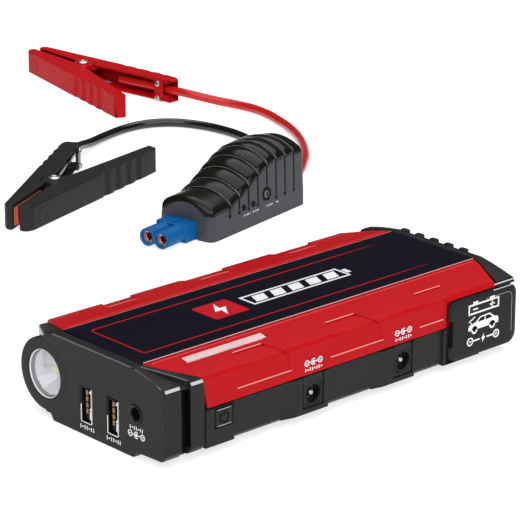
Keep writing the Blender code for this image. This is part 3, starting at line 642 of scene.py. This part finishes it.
def panel(side, turn, place, lift):
    """A red panel with its recesses, and painted highlights along the edges of these and beside the crease.
    """
    finer(f"{side}_panel", "red_plastic", edge=0.35, angle=50.0, smooth=50.0,
          cuts=[turn(recess_cutter(*recess, lift)) for recess in RECESSES])
    # Light strips on the lower chamfer of each recess: painted highlights.
    low_highlights = [bar((x0 + 0.4, 0), (x1 - 0.4, 0), 0.42) for x0, x1, *_ in RECESSES]
    at = facing((0, 0.28 - SIDE_Y, RECESS_LOW_Z + 0.42), (1, 0, 0), (0, RECESS_DEPTH, 0.8))
    print_on(f"{side}_recess_low_edges", low_highlights, "painted_highlight_pink", place @ at, lift=0.0)
    # Light strips along the top edge of each recess: painted highlights.
    at = place @ on_slope(RECESS_TOP_Y - 0.1, lift)
    for number, (*_, x0, x1) in enumerate(RECESSES, 1):
        top_highlight = [bar((x0, 0), (x1, 0), 0.45)]
        print_on(f"{side}_recess_top_edge_{number}", top_highlight, "painted_highlight_pink", at, lift=0.0)
    # Lighter red strip beside the crease: a painted highlight.
    at = place @ on_slope(CREASE_Y + 1.75, lift)
    print_on(f"{side}_crease_line", [bar((-78.5, 0), (78.5, 0), 0.3)], "painted_red_highlight", at, lift=0.0)


def same(shape):
    return shape


# ---- pack shells and label

GROOVE = (-78.4, -74.4)                 # x range of the groove between the two front ridges of the port end
RIB_YS = (19.1, 11.3, 3.5, -4.3, -12.1)
RIB_HALF = 2.0
RIB_X, RIB_Z = (84.3, 87.0), (6.0, 33.5)


def shells():
    finer("lower_case", "black_plastic", edge=0.3)
    finer("upper_frame", "black_plastic", edge=0.2)
    deeper = box(GROOVE, (-50, -36.0), (-1, 26.6))
    finer("port_end_cap", "black_plastic", edge=0.45, cuts=[deeper])
    finer("far_end_cap", "black_plastic", edge=0.45)
    for number, y in enumerate(RIB_YS, 1):
        rib = pad("Z", (RIB_X[0], y - RIB_HALF), (RIB_X[1], y + RIB_HALF), *RIB_Z, 1.1, 0.6)
        piece(f"far_rib_{number}", rib, "black_plastic")
    panel("front", same, HERE, 0.0)
    panel("rear", turned, HALF_TURN, REAR_LIFT)
    finer("charge_window", "window_plastic", edge=0.3, shortest=1.0)
    for number in range(1, 5):
        finer(f"case_screw_{number}", "plated_steel", edge=0.12, shortest=0.8)


def highlight_strip(name, start, end, width, out, stuff):
    """Painted highlight: a fine light strip along an edge of the pack, facing out."""
    a, b = Vector(start), Vector(end)
    right = (b - a).normalized()
    at = facing(a, right, Vector(out).cross(right))
    print_on(name, [bar((0, 0), ((b - a).length, 0), width)], stuff, at, lift=0.0)


def crease_highlights():
    """Painted highlights: fine light strips along the edges round the flat top and on the lip over the
    socket cover.
    """
    half = CREASE_Y - 0.2
    face = CAP_LOW.x + 0.22
    ends = [(face, y, TOP_Z - 0.2) for y in (half, -half)]
    highlight_strip("port_top_highlight", *ends, 0.42, (-1, 0, 1), "painted_highlight_grey")
    for side, turn in (("front", HERE), ("rear", HALF_TURN)):
        at = facing((0, 0.1 - CREASE_Y, TOP_Z - 0.06), (1, 0, 0), (0, 1, 0.3))
        line = [bar((-80.6, 0), (80.6, 0), 0.4)]
        print_on(f"{side}_label_edge", line, "painted_highlight_pink", turn @ at, lift=0.05)
    # Pale strip on the lip over the socket cover: a painted highlight.
    ends = [(x, *CAP_EDGE) for x in (74.6, 85.0)]
    highlight_strip("far_lip_highlight", *ends, 0.5, (0, -1.6, 1), "painted_highlight_pale")


def ridges():
    """Painted shade in the groove between the two front corner ridges of the port end, and painted
    highlights on their edges and on the rear corner chamfer.
    """
    x0, x1 = GROOVE
    # Dark plates on the back wall and side of the groove: painted shade.
    back = box((x0 + 0.05, x1 - 0.05), (-36.05, -35.95), (3.2, 26.4))
    wall = box((x1 - 0.05, x1 + 0.02), (-38.7, -35.95), (5.5, 26.4))
    piece("ridge_groove_shade", merge(back, wall), "painted_shade_and_print_black")
    face = CAP_LOW.x + 0.22
    # Light strips along the end face edge and along the groove's tail: painted highlights.
    steps = (23.4, 27.0, 32.0, 37.2)
    for number, pair in enumerate(zip(steps, steps[1:]), 1):
        ends = [(face, -y, shoulder(y) - 0.2) for y in pair]
        highlight_strip(f"ridge_face_edge_{number}", *ends, 0.26, (-1, 0, 1), "painted_highlight_grey")
        ends = [(x0 - 4.8 + (x1 - x0 + 4.8) * (y - 23.6) / 13.8 + 0.2, -y, shoulder(y) + 0.02) for y in pair]
        highlight_strip(f"ridge_tail_edge_{number}", *ends, 0.2, (0, -0.2, 1), "painted_highlight_grey")
    # Pale bars on the ridge tops: painted highlights.
    for number, pair in enumerate(((CAP_LOW.x + 0.7, x0 - 0.5), (x1 + 0.5, CAP_HIGH.x - 0.6)), 1):
        ends = [(x, *CAP_EDGE) for x in pair]
        highlight_strip(f"ridge_top_{number}", *ends, 1.15, (0, -1.6, 1), "painted_highlight_pale")
    # Pale plate on the rear corner chamfer: a painted highlight.
    at = facing((-82.3, 32.25, 0), (-0.509, -0.860, 0), (0, 0, 1))
    print_on("corner_face_highlight", [[(-6.0, 17.5), (6.0, 17.5), (6.0, 31.2), (-6.0, 29.4)]], "painted_highlight_pale", at)


def label():
    finer("label_plate", "navy_label", edge=0.25)
    flat = facing((0, 0, TOP_Z), (1, 0, 0), (0, 1, 0))
    left, right, half, corner, line = -74.3, 65.0, 14.7, 1.0, 0.6
    taper = right - 22
    outline = [bar((left, -half + corner), (left, half - corner), line),
               bar((left, half - corner), (left + corner, half), line),
               bar((left, -half + corner), (left + corner, -half), line)]
    for y in (-half, half):
        low, high = y - line / 2, y + line / 2
        outline.append([(left + corner, low), (taper, low), (right, y), (taper, high),
                        (left + corner, high)])
    print_on("label_outline", outline, "label_red", flat, lift=0.0)
    emblem = rounded((-34.4, -6.8), (-18.4, 7.4), 0.8)
    print_on("label_emblem", [emblem], "label_red", flat, lift=0.0)
    middle_of_emblem = Matrix.Translation((-26.4 * MM, 0.3 * MM, 0))
    print_on("label_bolt", bolt(11.0), "print_and_highlight_white", flat @ middle_of_emblem, lift=0.08)
    print_on("label_gauge", charge_gauge(), "print_and_highlight_white", flat, lift=0.0)


def charge_gauge():
    """A battery lying down, with five slanted cells."""
    left, right, cell, gap, slant = -14.0, 34.0, 7.9, 0.9, 2.2
    gauge = frame_stroke((left, -4.2), (right, 4.8), 0.9)
    gauge.append(plate((right + 0.6, -1.6), (right + 2.6, 2.2)))
    for i in range(5):
        x = left + 2.6 + (cell + gap) * i
        gauge.append([(x, -2.4), (x + cell - slant, -2.4), (x + cell, 3.0), (x + slant, 3.0)])
    return gauge


# ---- port end

def lamp():
    """Bezel, pale rim, domed lens, facetted reflector and the LED on its post."""
    low, high = span("lamp_lens")
    centre = y, z = middle("lamp_lens")[1:]
    r = (high.y - low.y) / 2
    front = CAP_LOW.x
    bezel = [(r + 0.35, front + 1.2), (r + 0.35, front + 0.2), (r + 0.7, front - 0.1),
             (r + 4.0, front - 0.1), (r + 4.5, front + 0.15), (r + 4.83, front + 0.9),
             (r + 4.83, front + 1.5)]
    piece("lamp_bezel", lathe("X", centre, bezel, 64), "black_plastic")
    rim = [(r - 0.05, front + 0.7), (r - 0.05, front + 0.25), (r + 0.28, front + 0.2),
           (r + 0.28, front + 0.7)]
    piece("lamp_rim", lathe("X", centre, rim, 64), "print_and_highlight_white")
    dome = [(0, high.x), (r - 0.3, high.x), (r - 0.3, low.x), (r * 0.7, low.x - 0.14),
            (r * 0.35, low.x - 0.24), (0, low.x - 0.28)]
    stand_in("lamp_lens", lathe("X", centre, dome, 64), "clear_lens")
    mouth, back = (corner.x for corner in span("lamp_reflector"))
    depth = back - mouth
    bowl = [(2.3 + (r - 2.8) * math.sqrt(i / 6), back - depth * i / 6) for i in range(7)]
    outside = [(radius + 0.4, x + 0.4) for radius, x in bowl[4::-1]]
    bowl += [(r - 0.2, mouth), (r - 0.2, mouth + 0.8)] + outside
    stand_in("lamp_reflector", lathe("X", centre, bowl, 12), "reflector_chrome", smooth=12.0)
    tip = front + 4.6
    chip = pad("X", (y - 1.5, z - 1.3), (y + 1.5, z + 1.3), tip + 0.6, tip, 0.5, 0.2)
    piece("lamp_led_chip", chip, "led_phosphor")
    post = [(0, back + 0.9), (3.6, back + 0.9), (3.6, back + 0.1), (2.2, back + 0.1), (2.0, tip + 0.6),
            (0, tip + 0.6)]
    stand_in("lamp_led", lathe("X", centre, post, 32), "reflector_chrome")


def usb_port(side):
    """A USB-A socket on its side: shell, tongue with four contacts, spring, and a painted highlight round
    the bottom and sides of the mouth.
    """
    low, high = span(f"usb_shell_{side}")
    z = (low.z + high.z) / 2
    finer(f"usb_shell_{side}", "gloss_black", edge=0.12)
    finer(f"usb_tongue_{side}", "black_plastic", edge=0.2)
    face = span(f"usb_tongue_{side}")[0].y
    strips = (low.x + 1.2, low.x + 3.2), (face - 0.18, face + 0.02), 0.75
    tips = (low.x + 0.9, low.x + 1.3), (face - 0.1, face + 1.1), 0.85
    contacts = []
    for x, y, half in (strips, tips):
        for i in (-1.5, -0.5, 0.5, 1.5):
            at = z + 2.3 * i + 0.9
            contacts.append(box(x, y, (at - half, at + half)))
    piece(f"usb_contacts_{side}", merge(*contacts), "gold")
    wall = low.y + 0.3
    spring = prism([(wall, z + 5.7), (wall, z - 5.6), (wall + 1.7, z - 5.0), (wall + 1.5, z - 2.4),
                    (wall + 0.7, z - 1.6), (wall + 0.7, z + 5.7)], low.x + 0.5, low.x + 1.1, "X")
    hooks = []
    for at in (4.9, -1.5):
        corners = (wall + 0.2, z + at - 0.55), (wall + 1.9, z + at + 0.55)
        hooks.append(pad("X", *corners, low.x + 1.5, low.x + 0.45, 0.4))
    piece(f"usb_spring_{side}", merge(spring, *hooks), "print_and_highlight_white")
    # White strips on the bottom and sides of the mouth, not the top: a painted highlight.
    rim = 0.2
    edges = [plate((low.y, low.z), (high.y, low.z + rim)), plate((low.y, low.z), (low.y + rim, high.z)),
             plate((high.y - rim, low.z), (high.y, z))]
    collar = [prism(edge, low.x - 0.3, low.x + 0.3, "X") for edge in edges]
    piece(f"usb_rim_{side}", merge(*collar), "print_and_highlight_white")


def port_prints():
    face = CAP_LOW.x
    for side in ("left", "right"):
        low, high = span(f"usb_shell_{side}")
        at = facing((face, (low.y + high.y) / 2 - 0.4, low.z - 1.7), *PORT_VIEW)
        print_on(f"usb_marks_{side}", small_marks(8.2, 1.5, 7), "print_and_highlight_white", at)
    jack = middle("charge_jack")
    at = facing((face, jack.y - 0.4, jack.z - 7.6), *PORT_VIEW)
    print_on("charge_polarity", polarity_mark(8.6), "print_and_highlight_white", at)
    at = facing((face, jack.y - 0.4, jack.z - 5.2), *PORT_VIEW)
    print_on("charge_marks", small_marks(7.6, 1.4, 7), "print_and_highlight_white", at)


def charge_jack():
    finer("charge_jack", "gloss_black", edge=0.3, shortest=0.3, angle=50)
    centre = middle("charge_jack")[1:]
    face = CAP_LOW.x
    ring = [(2.5, face + 1.2), (2.5, face + 0.1), (2.9, face - 0.25), (3.4, face - 0.1), (3.4, face + 1.0)]
    piece("charge_jack_ring", lathe("X", centre, ring, 48), "gloss_black")


# ---- front side

JACK_Z = {"output_jack_12v": 9.9, "output_jack_19v": 10.6}


def output_jack(name):
    """A barrel jack with a raised mouth, a centre pin and a sleeve, and its signs on the panel above."""
    low, high = span(name)
    face, centre = low.y, ((low.x + high.x) / 2, JACK_Z[name])
    finer(name, "black_plastic", edge=0.25)
    mouth = [(3.4, face + 0.02), (4.0, face - 0.03), (4.0, face + 0.4), (3.4, face + 2.5), (3.1, face + 2.5),
             (3.1, face + 0.5)]
    piece(f"{name}_mouth", lathe("Y", centre, mouth, 48), "gloss_black")
    tip = [(0, face + 8.0), (1.0, face + 8.0), (1.0, face + 1.3), (0.75, face + 0.95), (0, face + 0.8)]
    piece(f"{name}_pin", lathe("Y", centre, tip, 24), "plated_steel")
    sleeve = [(2.2, face + 7.5), (2.2, face + 3.2), (2.9, face + 3.2), (2.9, face + 7.5)]
    piece(f"{name}_sleeve", lathe("Y", centre, sleeve, 32), "plated_steel")
    at = facing((centre[0], -SIDE_Y, 21.9), *FRONT_VIEW)
    print_on(f"{name}_polarity", polarity_mark(8.3), "print_and_highlight_white", at)
    at = facing((centre[0], -SIDE_Y, 19.4), *FRONT_VIEW)
    print_on(f"{name}_marks", small_marks(8.6, 1.3, 8), "print_and_highlight_white", at)


def power_button():
    low, high = span("power_button")
    x, z = (low.x + high.x) / 2, (low.z + high.z) / 2
    finer("power_button", "black_plastic", edge=0.35)
    at = facing((x, low.y, z), *FRONT_VIEW)
    icon = arc_stroke((0, -0.2), 1.9, 0.5, math.radians(125), math.radians(290))
    icon.append(bar((0, 0.4), (0, 2.3), 0.5))
    print_on("power_icon", icon, "painted_shade_and_print_black", at, body_of("power_button"), lift=0.0, height=0.12)
    # Metal-coloured strips along the top and bottom edges: painted highlights.
    edges = [bar((-3.1, z_edge), (3.1, z_edge), 0.22) for z_edge in (-2.95, 2.95)]
    print_on("power_edge_highlights", edges, "plated_steel", at, body_of("power_button"), lift=0.0, height=0.05)


def jump_socket():
    finer("jump_socket", "plug_blue", edge=0.3)
    for number in (1, 2):
        finer(f"socket_pin_{number}", "copper", edge=0.2, shortest=0.3, angle=50)


def car_outline():
    """Side view of a plain hatchback, nose to the left, about 16 wide."""
    body = [(-8.0, -1.6), (-8.1, -0.2), (-7.3, 0.7), (-4.2, 1.2), (-1.9, 3.0), (3.4, 3.2), (5.9, 1.3),
            (7.7, 0.9), (8.1, -0.4), (7.9, -1.6)]
    glass = [[(-3.3, 1.2), (-1.6, 2.5), (0.4, 2.6), (0.4, 1.2)],
             [(1.0, 1.2), (1.0, 2.6), (3.1, 2.6), (4.7, 1.2)]]
    wheels = [(-4.8, -1.7), (4.7, -1.7)]
    return body, glass, wheels


HINGE_X, HINGE_R = 84.6, 1.9            # upright hinge barrel at the far end of the socket cover


def socket_cover():
    low, high = span("socket_cover")
    body = body_of("socket_cover")
    right, face = HINGE_X + HINGE_R, low.y
    profile = ((HINGE_R, 0.0), (0.75, 0.0), (0.55, 0.25), (0.45, 0.7), (0.0, 2.3))
    rings = []
    for depth, inset in profile:
        outline = rounded((low.x + 0.35 * inset, low.z + inset), (right - inset, high.z - inset),
                          4.2 - 0.4 * inset, 6)
        rings.append([(x, face + depth, z) for x, z in outline])
    barrel = [(0, low.z + 3.4), (1.3, low.z + 3.4), (HINGE_R, low.z + 4.0), (HINGE_R, high.z - 4.0),
              (1.3, high.z - 3.4), (0, high.z - 3.4)]
    hinge = lathe("Z", (HINGE_X, face + HINGE_R), barrel, 32)
    notch = box((40, low.x + 2.0), (-50, -30), (9.4, 19.8))
    stand_in("socket_cover", stack(rings), "cover_rubber", cuts=[notch], adds=[hinge], smooth=30)
    # Pale strip along the top edge of the cover: a painted highlight.
    top_highlight = facing((0, face + 0.42, high.z - 0.42), (1, 0, 0), (0, 0.6, 1))
    print_on("cover_top_highlight", [bar((73.8, 0), (HINGE_X, 0), 0.35)], "painted_highlight_pale", top_highlight, body, lift=0.0)
    cover_graphics(body, facing((68.2, face, 15.3), *FRONT_VIEW))


def cover_graphics(body, at):
    """Painted highlight along the rim, then printed battery, car with its bonnet up, and the two leads with
    a bolt between them.
    """
    # Light line along the top and right of the inset rim: a painted highlight.
    rim = [bar((1.0, 9.1), (12.8, 9.1), 0.22), bar((15.2, 6.7), (15.2, -7.0), 0.22)]
    rim += arc_stroke((12.8, 6.7), 2.4, 0.22, 0.0, math.pi / 2, 8)
    print_on("cover_rim_highlight", rim, "painted_highlight_grey", at, body, lift=0.0)
    shell, glass, wheels = car_outline()
    car = [shell, *[circle(w, 1.55, 24) for w in wheels]]
    car += [bar((-7.9, 1.9), (-4.6, 3.4), 0.45), bar((-7.6, 2.2), (-6.4, 1.0), 0.3)]
    print_on("cover_car", car, "print_and_highlight_white", at, body)
    gaps = glass + [circle(w, 0.75, 20) for w in wheels]
    print_on("cover_car_gaps", gaps, "painted_shade_and_print_black", at, body, lift=0.1)
    battery = frame_stroke((-8.2, 4.6), (8.2, 8.6), 0.65)
    battery += [plate((-5.8, 8.6), (-3.2, 9.5)), plate((3.2, 8.6), (5.8, 9.5))]
    battery += [bar((x - 1.3, 6.5), (x + 1.3, 6.5), 0.6) for x in (-4.5, 4.5)]
    battery.append(bar((4.5, 5.3), (4.5, 7.7), 0.6))
    print_on("cover_battery", battery, "print_and_highlight_white", at, body)
    level = -5.9
    leads = [bar((-5.6, level), (-1.9, level), 0.6), bar((1.9, level), (5.6, level), 0.6)]
    leads += arc_stroke((-7.0, level), 1.4, 0.55) + arc_stroke((7.0, level), 1.4, 0.55)
    leads += [bar((x - 0.7, level), (x + 0.7, level), 0.45) for x in (-7.0, 7.0)]
    leads.append(bar((7, level - 0.7), (7, level + 0.7), 0.45))
    leads.append([(x, z + level) for x, z in bolt(3.6)[0]])
    print_on("cover_leads", leads, "print_and_highlight_white", at, body)


# ---- control box

BOX_L, BOX_W, BOX_WALL = 69.0, 29.0, 1.8
BOX_FRONT_Z, BOX_REAR_Z = 13.5, 26.5    # long edge at the plug and at the hump
CROWN = 4.6                             # rise of the lid over its long edges
PITCH = 6.66
GROOVES = [-21.2 + PITCH * i for i in range(8)]
GROOVE_W = 1.1
GROOVE_END_Z = 8.6
OVER_BUTTON = 5, 14.4                   # this groove ends higher, above the boost button
LIGHT_XS, LIGHT_Z = (-11.5, -4.8), 9.8
BUTTON_R = 2.6                          # hole of the boost button
LEAN, LOW_LEAN = 0.7, 0.4               # how far the walls lean in, above and below the groove ends


def wall_top(x):
    """Height of the long edge: low at the plug, rising to a hump at the rear."""
    t = min(1.0, max(0.0, (x + 25.0) / 37.0))
    rise = t * t * (3 - 2 * t)
    drop = max(0.0, (x - 20.0) / (BOX_L / 2 - 20.0))
    return BOX_FRONT_Z + (BOX_REAR_Z - BOX_FRONT_Z) * rise - 1.4 * drop * drop


def notch_at(x):
    """Share of the full groove depth at x."""
    return max(0.0, 1.0 - min(abs(x - g) for g in GROOVES) / (GROOVE_W / 2))


def bulge_at(x):
    """Plates between two grooves are slightly domed."""
    if not GROOVES[0] < x < GROOVES[-1]:
        return 0.0
    share = ((x - GROOVES[0]) / PITCH) % 1.0
    return 0.6 * math.sin(math.pi * share)


def lid_ring(x, inset, narrow, detail):
    """Section of the lid at x: front wall, rolled edge, crown, and the same again on the rear side."""
    half = BOX_W / 2 - inset - narrow
    top = wall_top(x) - inset - 0.7 * narrow
    notch, bulge = (notch_at(x), bulge_at(x)) if detail else (0.0, 0.0)
    floor = -5.0 if inset else 0.0
    wall = [(half, floor), (half - LOW_LEAN * GROOVE_END_Z / top, GROOVE_END_Z)]
    for z in (GROOVE_END_Z + 0.5, (GROOVE_END_Z + top) / 2, top - 2.2):
        wall.append((half - LEAN * z / top - 0.55 * notch, z))
    edge_y, edge_z = half - 0.6 + 0.3 * bulge, top - 2.0
    inner_y = half - 3.0
    inner_z = top + CROWN * (1 - (inner_y / (half - LEAN)) ** 2) + bulge
    for i in range(1, 6):
        t = i / 5
        y = (1 - t) ** 2 * edge_y + 2 * t * (1 - t) * (half - LEAN + 0.3 * bulge) + t * t * inner_y
        z = (1 - t) ** 2 * edge_z + 2 * t * (1 - t) * (top + 0.2 + bulge) + t * t * inner_z
        wall.append((y - 0.5 * notch, z - 0.5 * notch))
    crown = []
    for i in range(1, 13):
        y = inner_y * (1 - i / 6.5)
        crown.append((y, top + CROWN * (1 - (y / (half - LEAN)) ** 2) + bulge - 0.85 * notch))
    ring = wall + crown + [(-y, z) for y, z in reversed(wall)]
    return [(x, y, z) for y, z in ring]


def lid_body(inset, detail):
    """The lid as a solid; with an inset and no detail it is the hollow inside."""
    end = BOX_L / 2 - inset
    corner = 3.4
    turn = [(corner * (1 - math.cos(math.radians(a))), corner * (1 - math.sin(math.radians(a))))
            for a in range(0, 91, 15)]
    stations = [(-end + x, narrow) for x, narrow in turn]
    if detail:
        for i, g in enumerate(GROOVES):
            stations += [(g + step * GROOVE_W, 0.0) for step in (-0.5, -0.25, 0, 0.25, 0.5)]
            if i < len(GROOVES) - 1:
                stations += [(g + share * PITCH, 0.0) for share in (0.25, 0.42, 0.58, 0.75)]
    else:
        stations += [(-24.0 + 4.0 * i, 0.0) for i in range(13)]
    stations += [(end - x, narrow) for x, narrow in reversed(turn)]
    return stack([lid_ring(x, inset, narrow, detail) for x, narrow in stations])


def box_wall_y(x, z):
    """Y of the front wall."""
    lean = LEAN if z > GROOVE_END_Z + 0.4 else LOW_LEAN
    return -(BOX_W / 2 - lean * z / wall_top(x))


def box_part(name, shape, stuff):
    """Small piece in the frame of the control box."""
    piece(name, shape, stuff, "lead_set", BOX_AT)


def box_print(name, outlines, x, z, stuff="painted_shade_and_print_black", lift=0.0):
    """Graphic on the front wall of the control box."""
    at = BOX_AT @ facing((x, box_wall_y(x, z), z), (1, 0, 0), (0, 0.03, 1))
    print_on(name, outlines, stuff, at, "lead_set", lift)


def groove_lines():
    """Painted shade as dark strips down the grooves of the front wall and dark dots where they end in round
    holes, and painted highlights as light wires along the groove edges over the crown.
    """
    for number, x in enumerate(GROOVES, 1):
        z = OVER_BUTTON[1] if number == OVER_BUTTON[0] else GROOVE_END_Z
        # Dark strip in each groove and dark dot at its end: painted shade.
        slot = [bar((0, 0.8), (0, wall_top(x) - 1.6 - z), 0.7)]
        box_print(f"box_slot_{number}", slot, x, z + 0.5)
        if number != OVER_BUTTON[0]:
            box_print(f"box_slot_end_{number}", [circle((-0.4, 0), 0.8, 20)], x, z, lift=0.04)
        # Light wire along the groove edge over the crown: a painted highlight.
        edge = [point for point in lid_ring(x + 0.62, 0.0, 0.0, True) if point[2] > wall_top(x) - 1.2]
        wire(f"box_groove_edge_{number}", edge, 0.07, "painted_highlight_grey", "lead_set", 2, BOX_AT)


def box_lid():
    plug_opening = box((-40, -30), (-6.5, 9.9), (-1, 8.5))
    boot_opening = box((30, 40), (-3.8, 10.8), (3.7, 12.3))
    button = BOX_AT.inverted() @ (middle("boost_button") * MM) / MM
    cuts = [lid_body(BOX_WALL, False), plug_opening, boot_opening]
    cuts += [rod("Y", (x, LIGHT_Z), 1.3, -20, -10, 24) for x in LIGHT_XS]
    cuts.append(rod("Y", (button.x, button.z), BUTTON_R, -20, -10, 32))
    lid = stand_in("box_lid", lid_body(0.0, True), "wall_grey", BOX_AT, cuts=cuts, smooth=50)
    lid.data.materials.append(STUFF["gloss_black"])
    for face in lid.data.polygons:
        spot = face.center / MM
        over_edge = spot.z > wall_top(min(34, max(-34, spot.x))) - 2.6
        if over_edge and abs(spot.x) < BOX_L / 2 - 0.05:
            face.material_index = 1
    groove_lines()
    for number, (x, width) in enumerate(((-9.5, 5.0), (-3.2, 5.0), (7.0, 5.0), (12.5, 1.6)), 1):
        box_print(f"box_marks_{number}", small_marks(width, 0.8, 5), x, 6.4, "print_and_highlight_white", 0.02)
    # Dark discs over the holes of the status lights: painted shade.
    for number, x in enumerate(LIGHT_XS, 1):
        box_print(f"box_light_{number}", [circle((0, 0), 1.4, 24)], x, LIGHT_Z, lift=0.12)
    boost_button(button)
    finer("status_light_pipe", "clear_lens", edge=0.15)
    finer("box_base", "black_plastic", edge=0.2)


def boost_button(centre):
    finer("boost_button", "gloss_black", edge=0.4, shortest=0.3, angle=50, place=BOX_AT)
    # Pale crescent on the button: a painted highlight.
    highlight_arc = arc_stroke((0, 0), 1.5, 0.35, math.radians(100), math.radians(150))
    at = BOX_AT @ facing((centre.x, 0.2 - BOX_W / 2, centre.z), *FRONT_VIEW)
    print_on("boost_highlight_arc", highlight_arc, "painted_highlight_grey", at, body_of("boost_button"), lift=0.0)
    ring = [(BUTTON_R, -13.4), (BUTTON_R, -14.3), (2.9, -14.5), (3.2, -14.35), (3.2, -13.4)]
    box_part("boost_ring", lathe("Y", (centre.x, centre.z), ring, 40), "gloss_black")


def blue_plug():
    """Housing, flange, key rib, and at each contact the mouth's lip and a pale seat."""
    finer("plug_housing", "plug_blue", edge=0.4, place=BOX_AT, shortest=4.0)
    face, y, z = -BOX_L / 2, 1.7, 4.3
    flange = pad("X", (y - 8.1, z - 4.2), (y + 8.1, z + 4.2), face + 0.3, face - 0.7, 0.8, 0.25)
    box_part("plug_flange", flange, "plug_blue")
    key = pad("Z", (face - 6.5, y - 1.2), (face - 0.6, y + 1.2), z + 3.6, z + 4.5, 0.4, 0.25)
    box_part("plug_key", key, "plug_blue")
    end = face - 19.0
    lip = [(2.75, end + 1.2), (2.75, end + 0.1), (3.0, end - 0.12), (3.7, end - 0.12), (3.85, end + 0.15),
           (3.85, end + 1.0)]
    seat = [(2.3, end + 1.4), (2.3, end + 1.0), (2.68, end + 1.0), (2.68, end + 1.4)]
    for number, way in ((1, -1), (2, 1)):
        axis = (y + way * 3.7, z)
        finer(f"plug_contact_{number}", "copper", edge=0.2, shortest=0.2, angle=50, place=BOX_AT)
        box_part(f"plug_lip_{number}", lathe("X", axis, lip, 40), "plug_blue")
        box_part(f"plug_seat_{number}", lathe("X", axis, seat, 32), "pale_metal")


def cable_boot():
    finer("cable_boot", "cover_rubber", edge=0.3, place=BOX_AT)


# ---- clamps

GRIPS, GRIP_R = (17.0, 25.5, 34.0, 42.5), 6.0
STRAP_SPOT, STRAP_TURN = (49.0, 11.4), 11.0
SCREW_IN = 2.1                          # from the face of a clamp to its strap screw
FIXED_SLOPE, MOVING_SLOPE = 0.1547, -0.1726


def fixed_back(x):
    """Y of the outer side of the fixed handle."""
    return 6.0 + (x + 38.5) * FIXED_SLOPE


def moving_back(x):
    """Y of the outer side of the moving handle."""
    return -7.4 + (x + 37.6) * MOVING_SLOPE


def grip_cuts(back, reach):
    """Shallow finger scallops across the back of a handle."""
    return [rod("Z", (x, back(x) + reach), GRIP_R, -1, 13, 64) for x in GRIPS]


def rivet(name, at):
    profile = [(0, 0.3), (1.6, 0.3), (1.6, 11.7), (2.8, 11.7), (2.8, 12.1), (2.3, 12.55), (1.2, 12.8),
               (0.8, 12.6), (0, 12.55)]
    stand_in(name, lathe("Z", (0, 0), profile, 40), "plated_steel", at)


def spring(name, moving, at):
    """Coil with one leg on the fixed handle; the other leg goes with the moving handle."""
    turns, radius, low, high = 3.5, 3.3, 4.0, 7.5
    steps = round(24 * turns)
    points = [(16.0, 5.8, low), (9.0, 4.6, low)]
    for i in range(steps + 1):
        a = math.radians(75) + math.tau * i / 24
        points.append((radius * math.cos(a), radius * math.sin(a), low + (high - low) * i / steps))
    wire(f"{name}_fine", points, 0.5, "plated_steel", body_of(name), 4, at, (name,))
    leg = [(1.6, -4.3, high), (9.0, -7.6, high), (16.0, -10.2, high)]
    wire(f"{name}_moving_leg", leg, 0.5, "plated_steel", moving, 4, at)


def strap_screw(name, edge, z):
    """Round head with a cross slot."""
    head = [(0, -0.5), (0.6, -0.5), (0.6, -1.8), (1.5, -1.8), (1.45, -2.3), (1.0, -2.65), (0, -2.75)]
    thin, long = 0.18, 1.1
    slots = [box((-w, w), (-3.2, -2.45), (z - h, z + h)) for w, h in ((long, thin), (thin, long))]
    stand_in(name, lathe("Y", (0, z), head, 32), "plated_steel", edge, cuts=slots)


def clamp(colour):
    at = CLAMP_AT[colour]
    shell = f"{colour}_plastic"
    metal = "copper" if colour == "black" else "gold"
    finer(f"{colour}_fixed_handle", shell, edge=0.85, cuts=grip_cuts(fixed_back, 5.3), place=at)
    finer(f"{colour}_moving_handle", shell, edge=0.85, cuts=grip_cuts(moving_back, -5.3), place=at)
    for jaw in ("fixed", "moving"):
        finer(f"{colour}_{jaw}_jaw", metal, edge=0.12, place=at, shortest=0.5)
    rivet(f"{colour}_pivot_pin", at)
    moving = body_of(f"{colour}_moving_handle")
    spring(f"{colour}_spring", moving, at)
    turn = Matrix.Rotation(math.radians(STRAP_TURN), 4, "Z")
    edge = at @ Matrix.Translation((STRAP_SPOT[0] * MM, STRAP_SPOT[1] * MM, 0)) @ turn
    finer(f"{colour}_cable_strap", "dark_steel" if colour == "black" else shell, edge=0.2, place=edge)
    for number, z in ((1, SCREW_IN), (2, CLAMP_T - SCREW_IN)):
        strap_screw(f"{colour}_strap_screw_{number}", edge, z)
    x = -31.0
    back = at @ facing((x, moving_back(x), CLAMP_T / 2), (1, MOVING_SLOPE, 0), (0, 0, 1))
    print_on(f"{colour}_tip_ring", arc_stroke((0, 0), 3.0, 0.35), shell, back, moving, 0.0, 0.12)
    top = at @ Matrix.Translation((55.0 * MM, -20.0 * MM, CLAMP_T * MM))
    print_on(f"{colour}_handle_mark", arc_stroke((0, 0), 1.5, 0.45), shell, top, moving, 0.0, 0.15)


# ---- inside pieces

def inside():
    for number in range(1, 4):
        finer(f"battery_cell_{number}", "cell_foil", edge=0.8)
    finer("main_board", "board_green", edge=0.1)
    finer("control_board", "board_green", edge=0.1)


shells()
crease_highlights()
ridges()
label()
lamp()
for side_name in ("left", "right"):
    usb_port(side_name)
port_prints()
charge_jack()
for jack_name in JACK_Z:
    output_jack(jack_name)
power_button()
jump_socket()
socket_cover()
box_lid()
blue_plug()
cable_boot()
for clamp_colour in CLAMP_AT:
    clamp(clamp_colour)
inside()
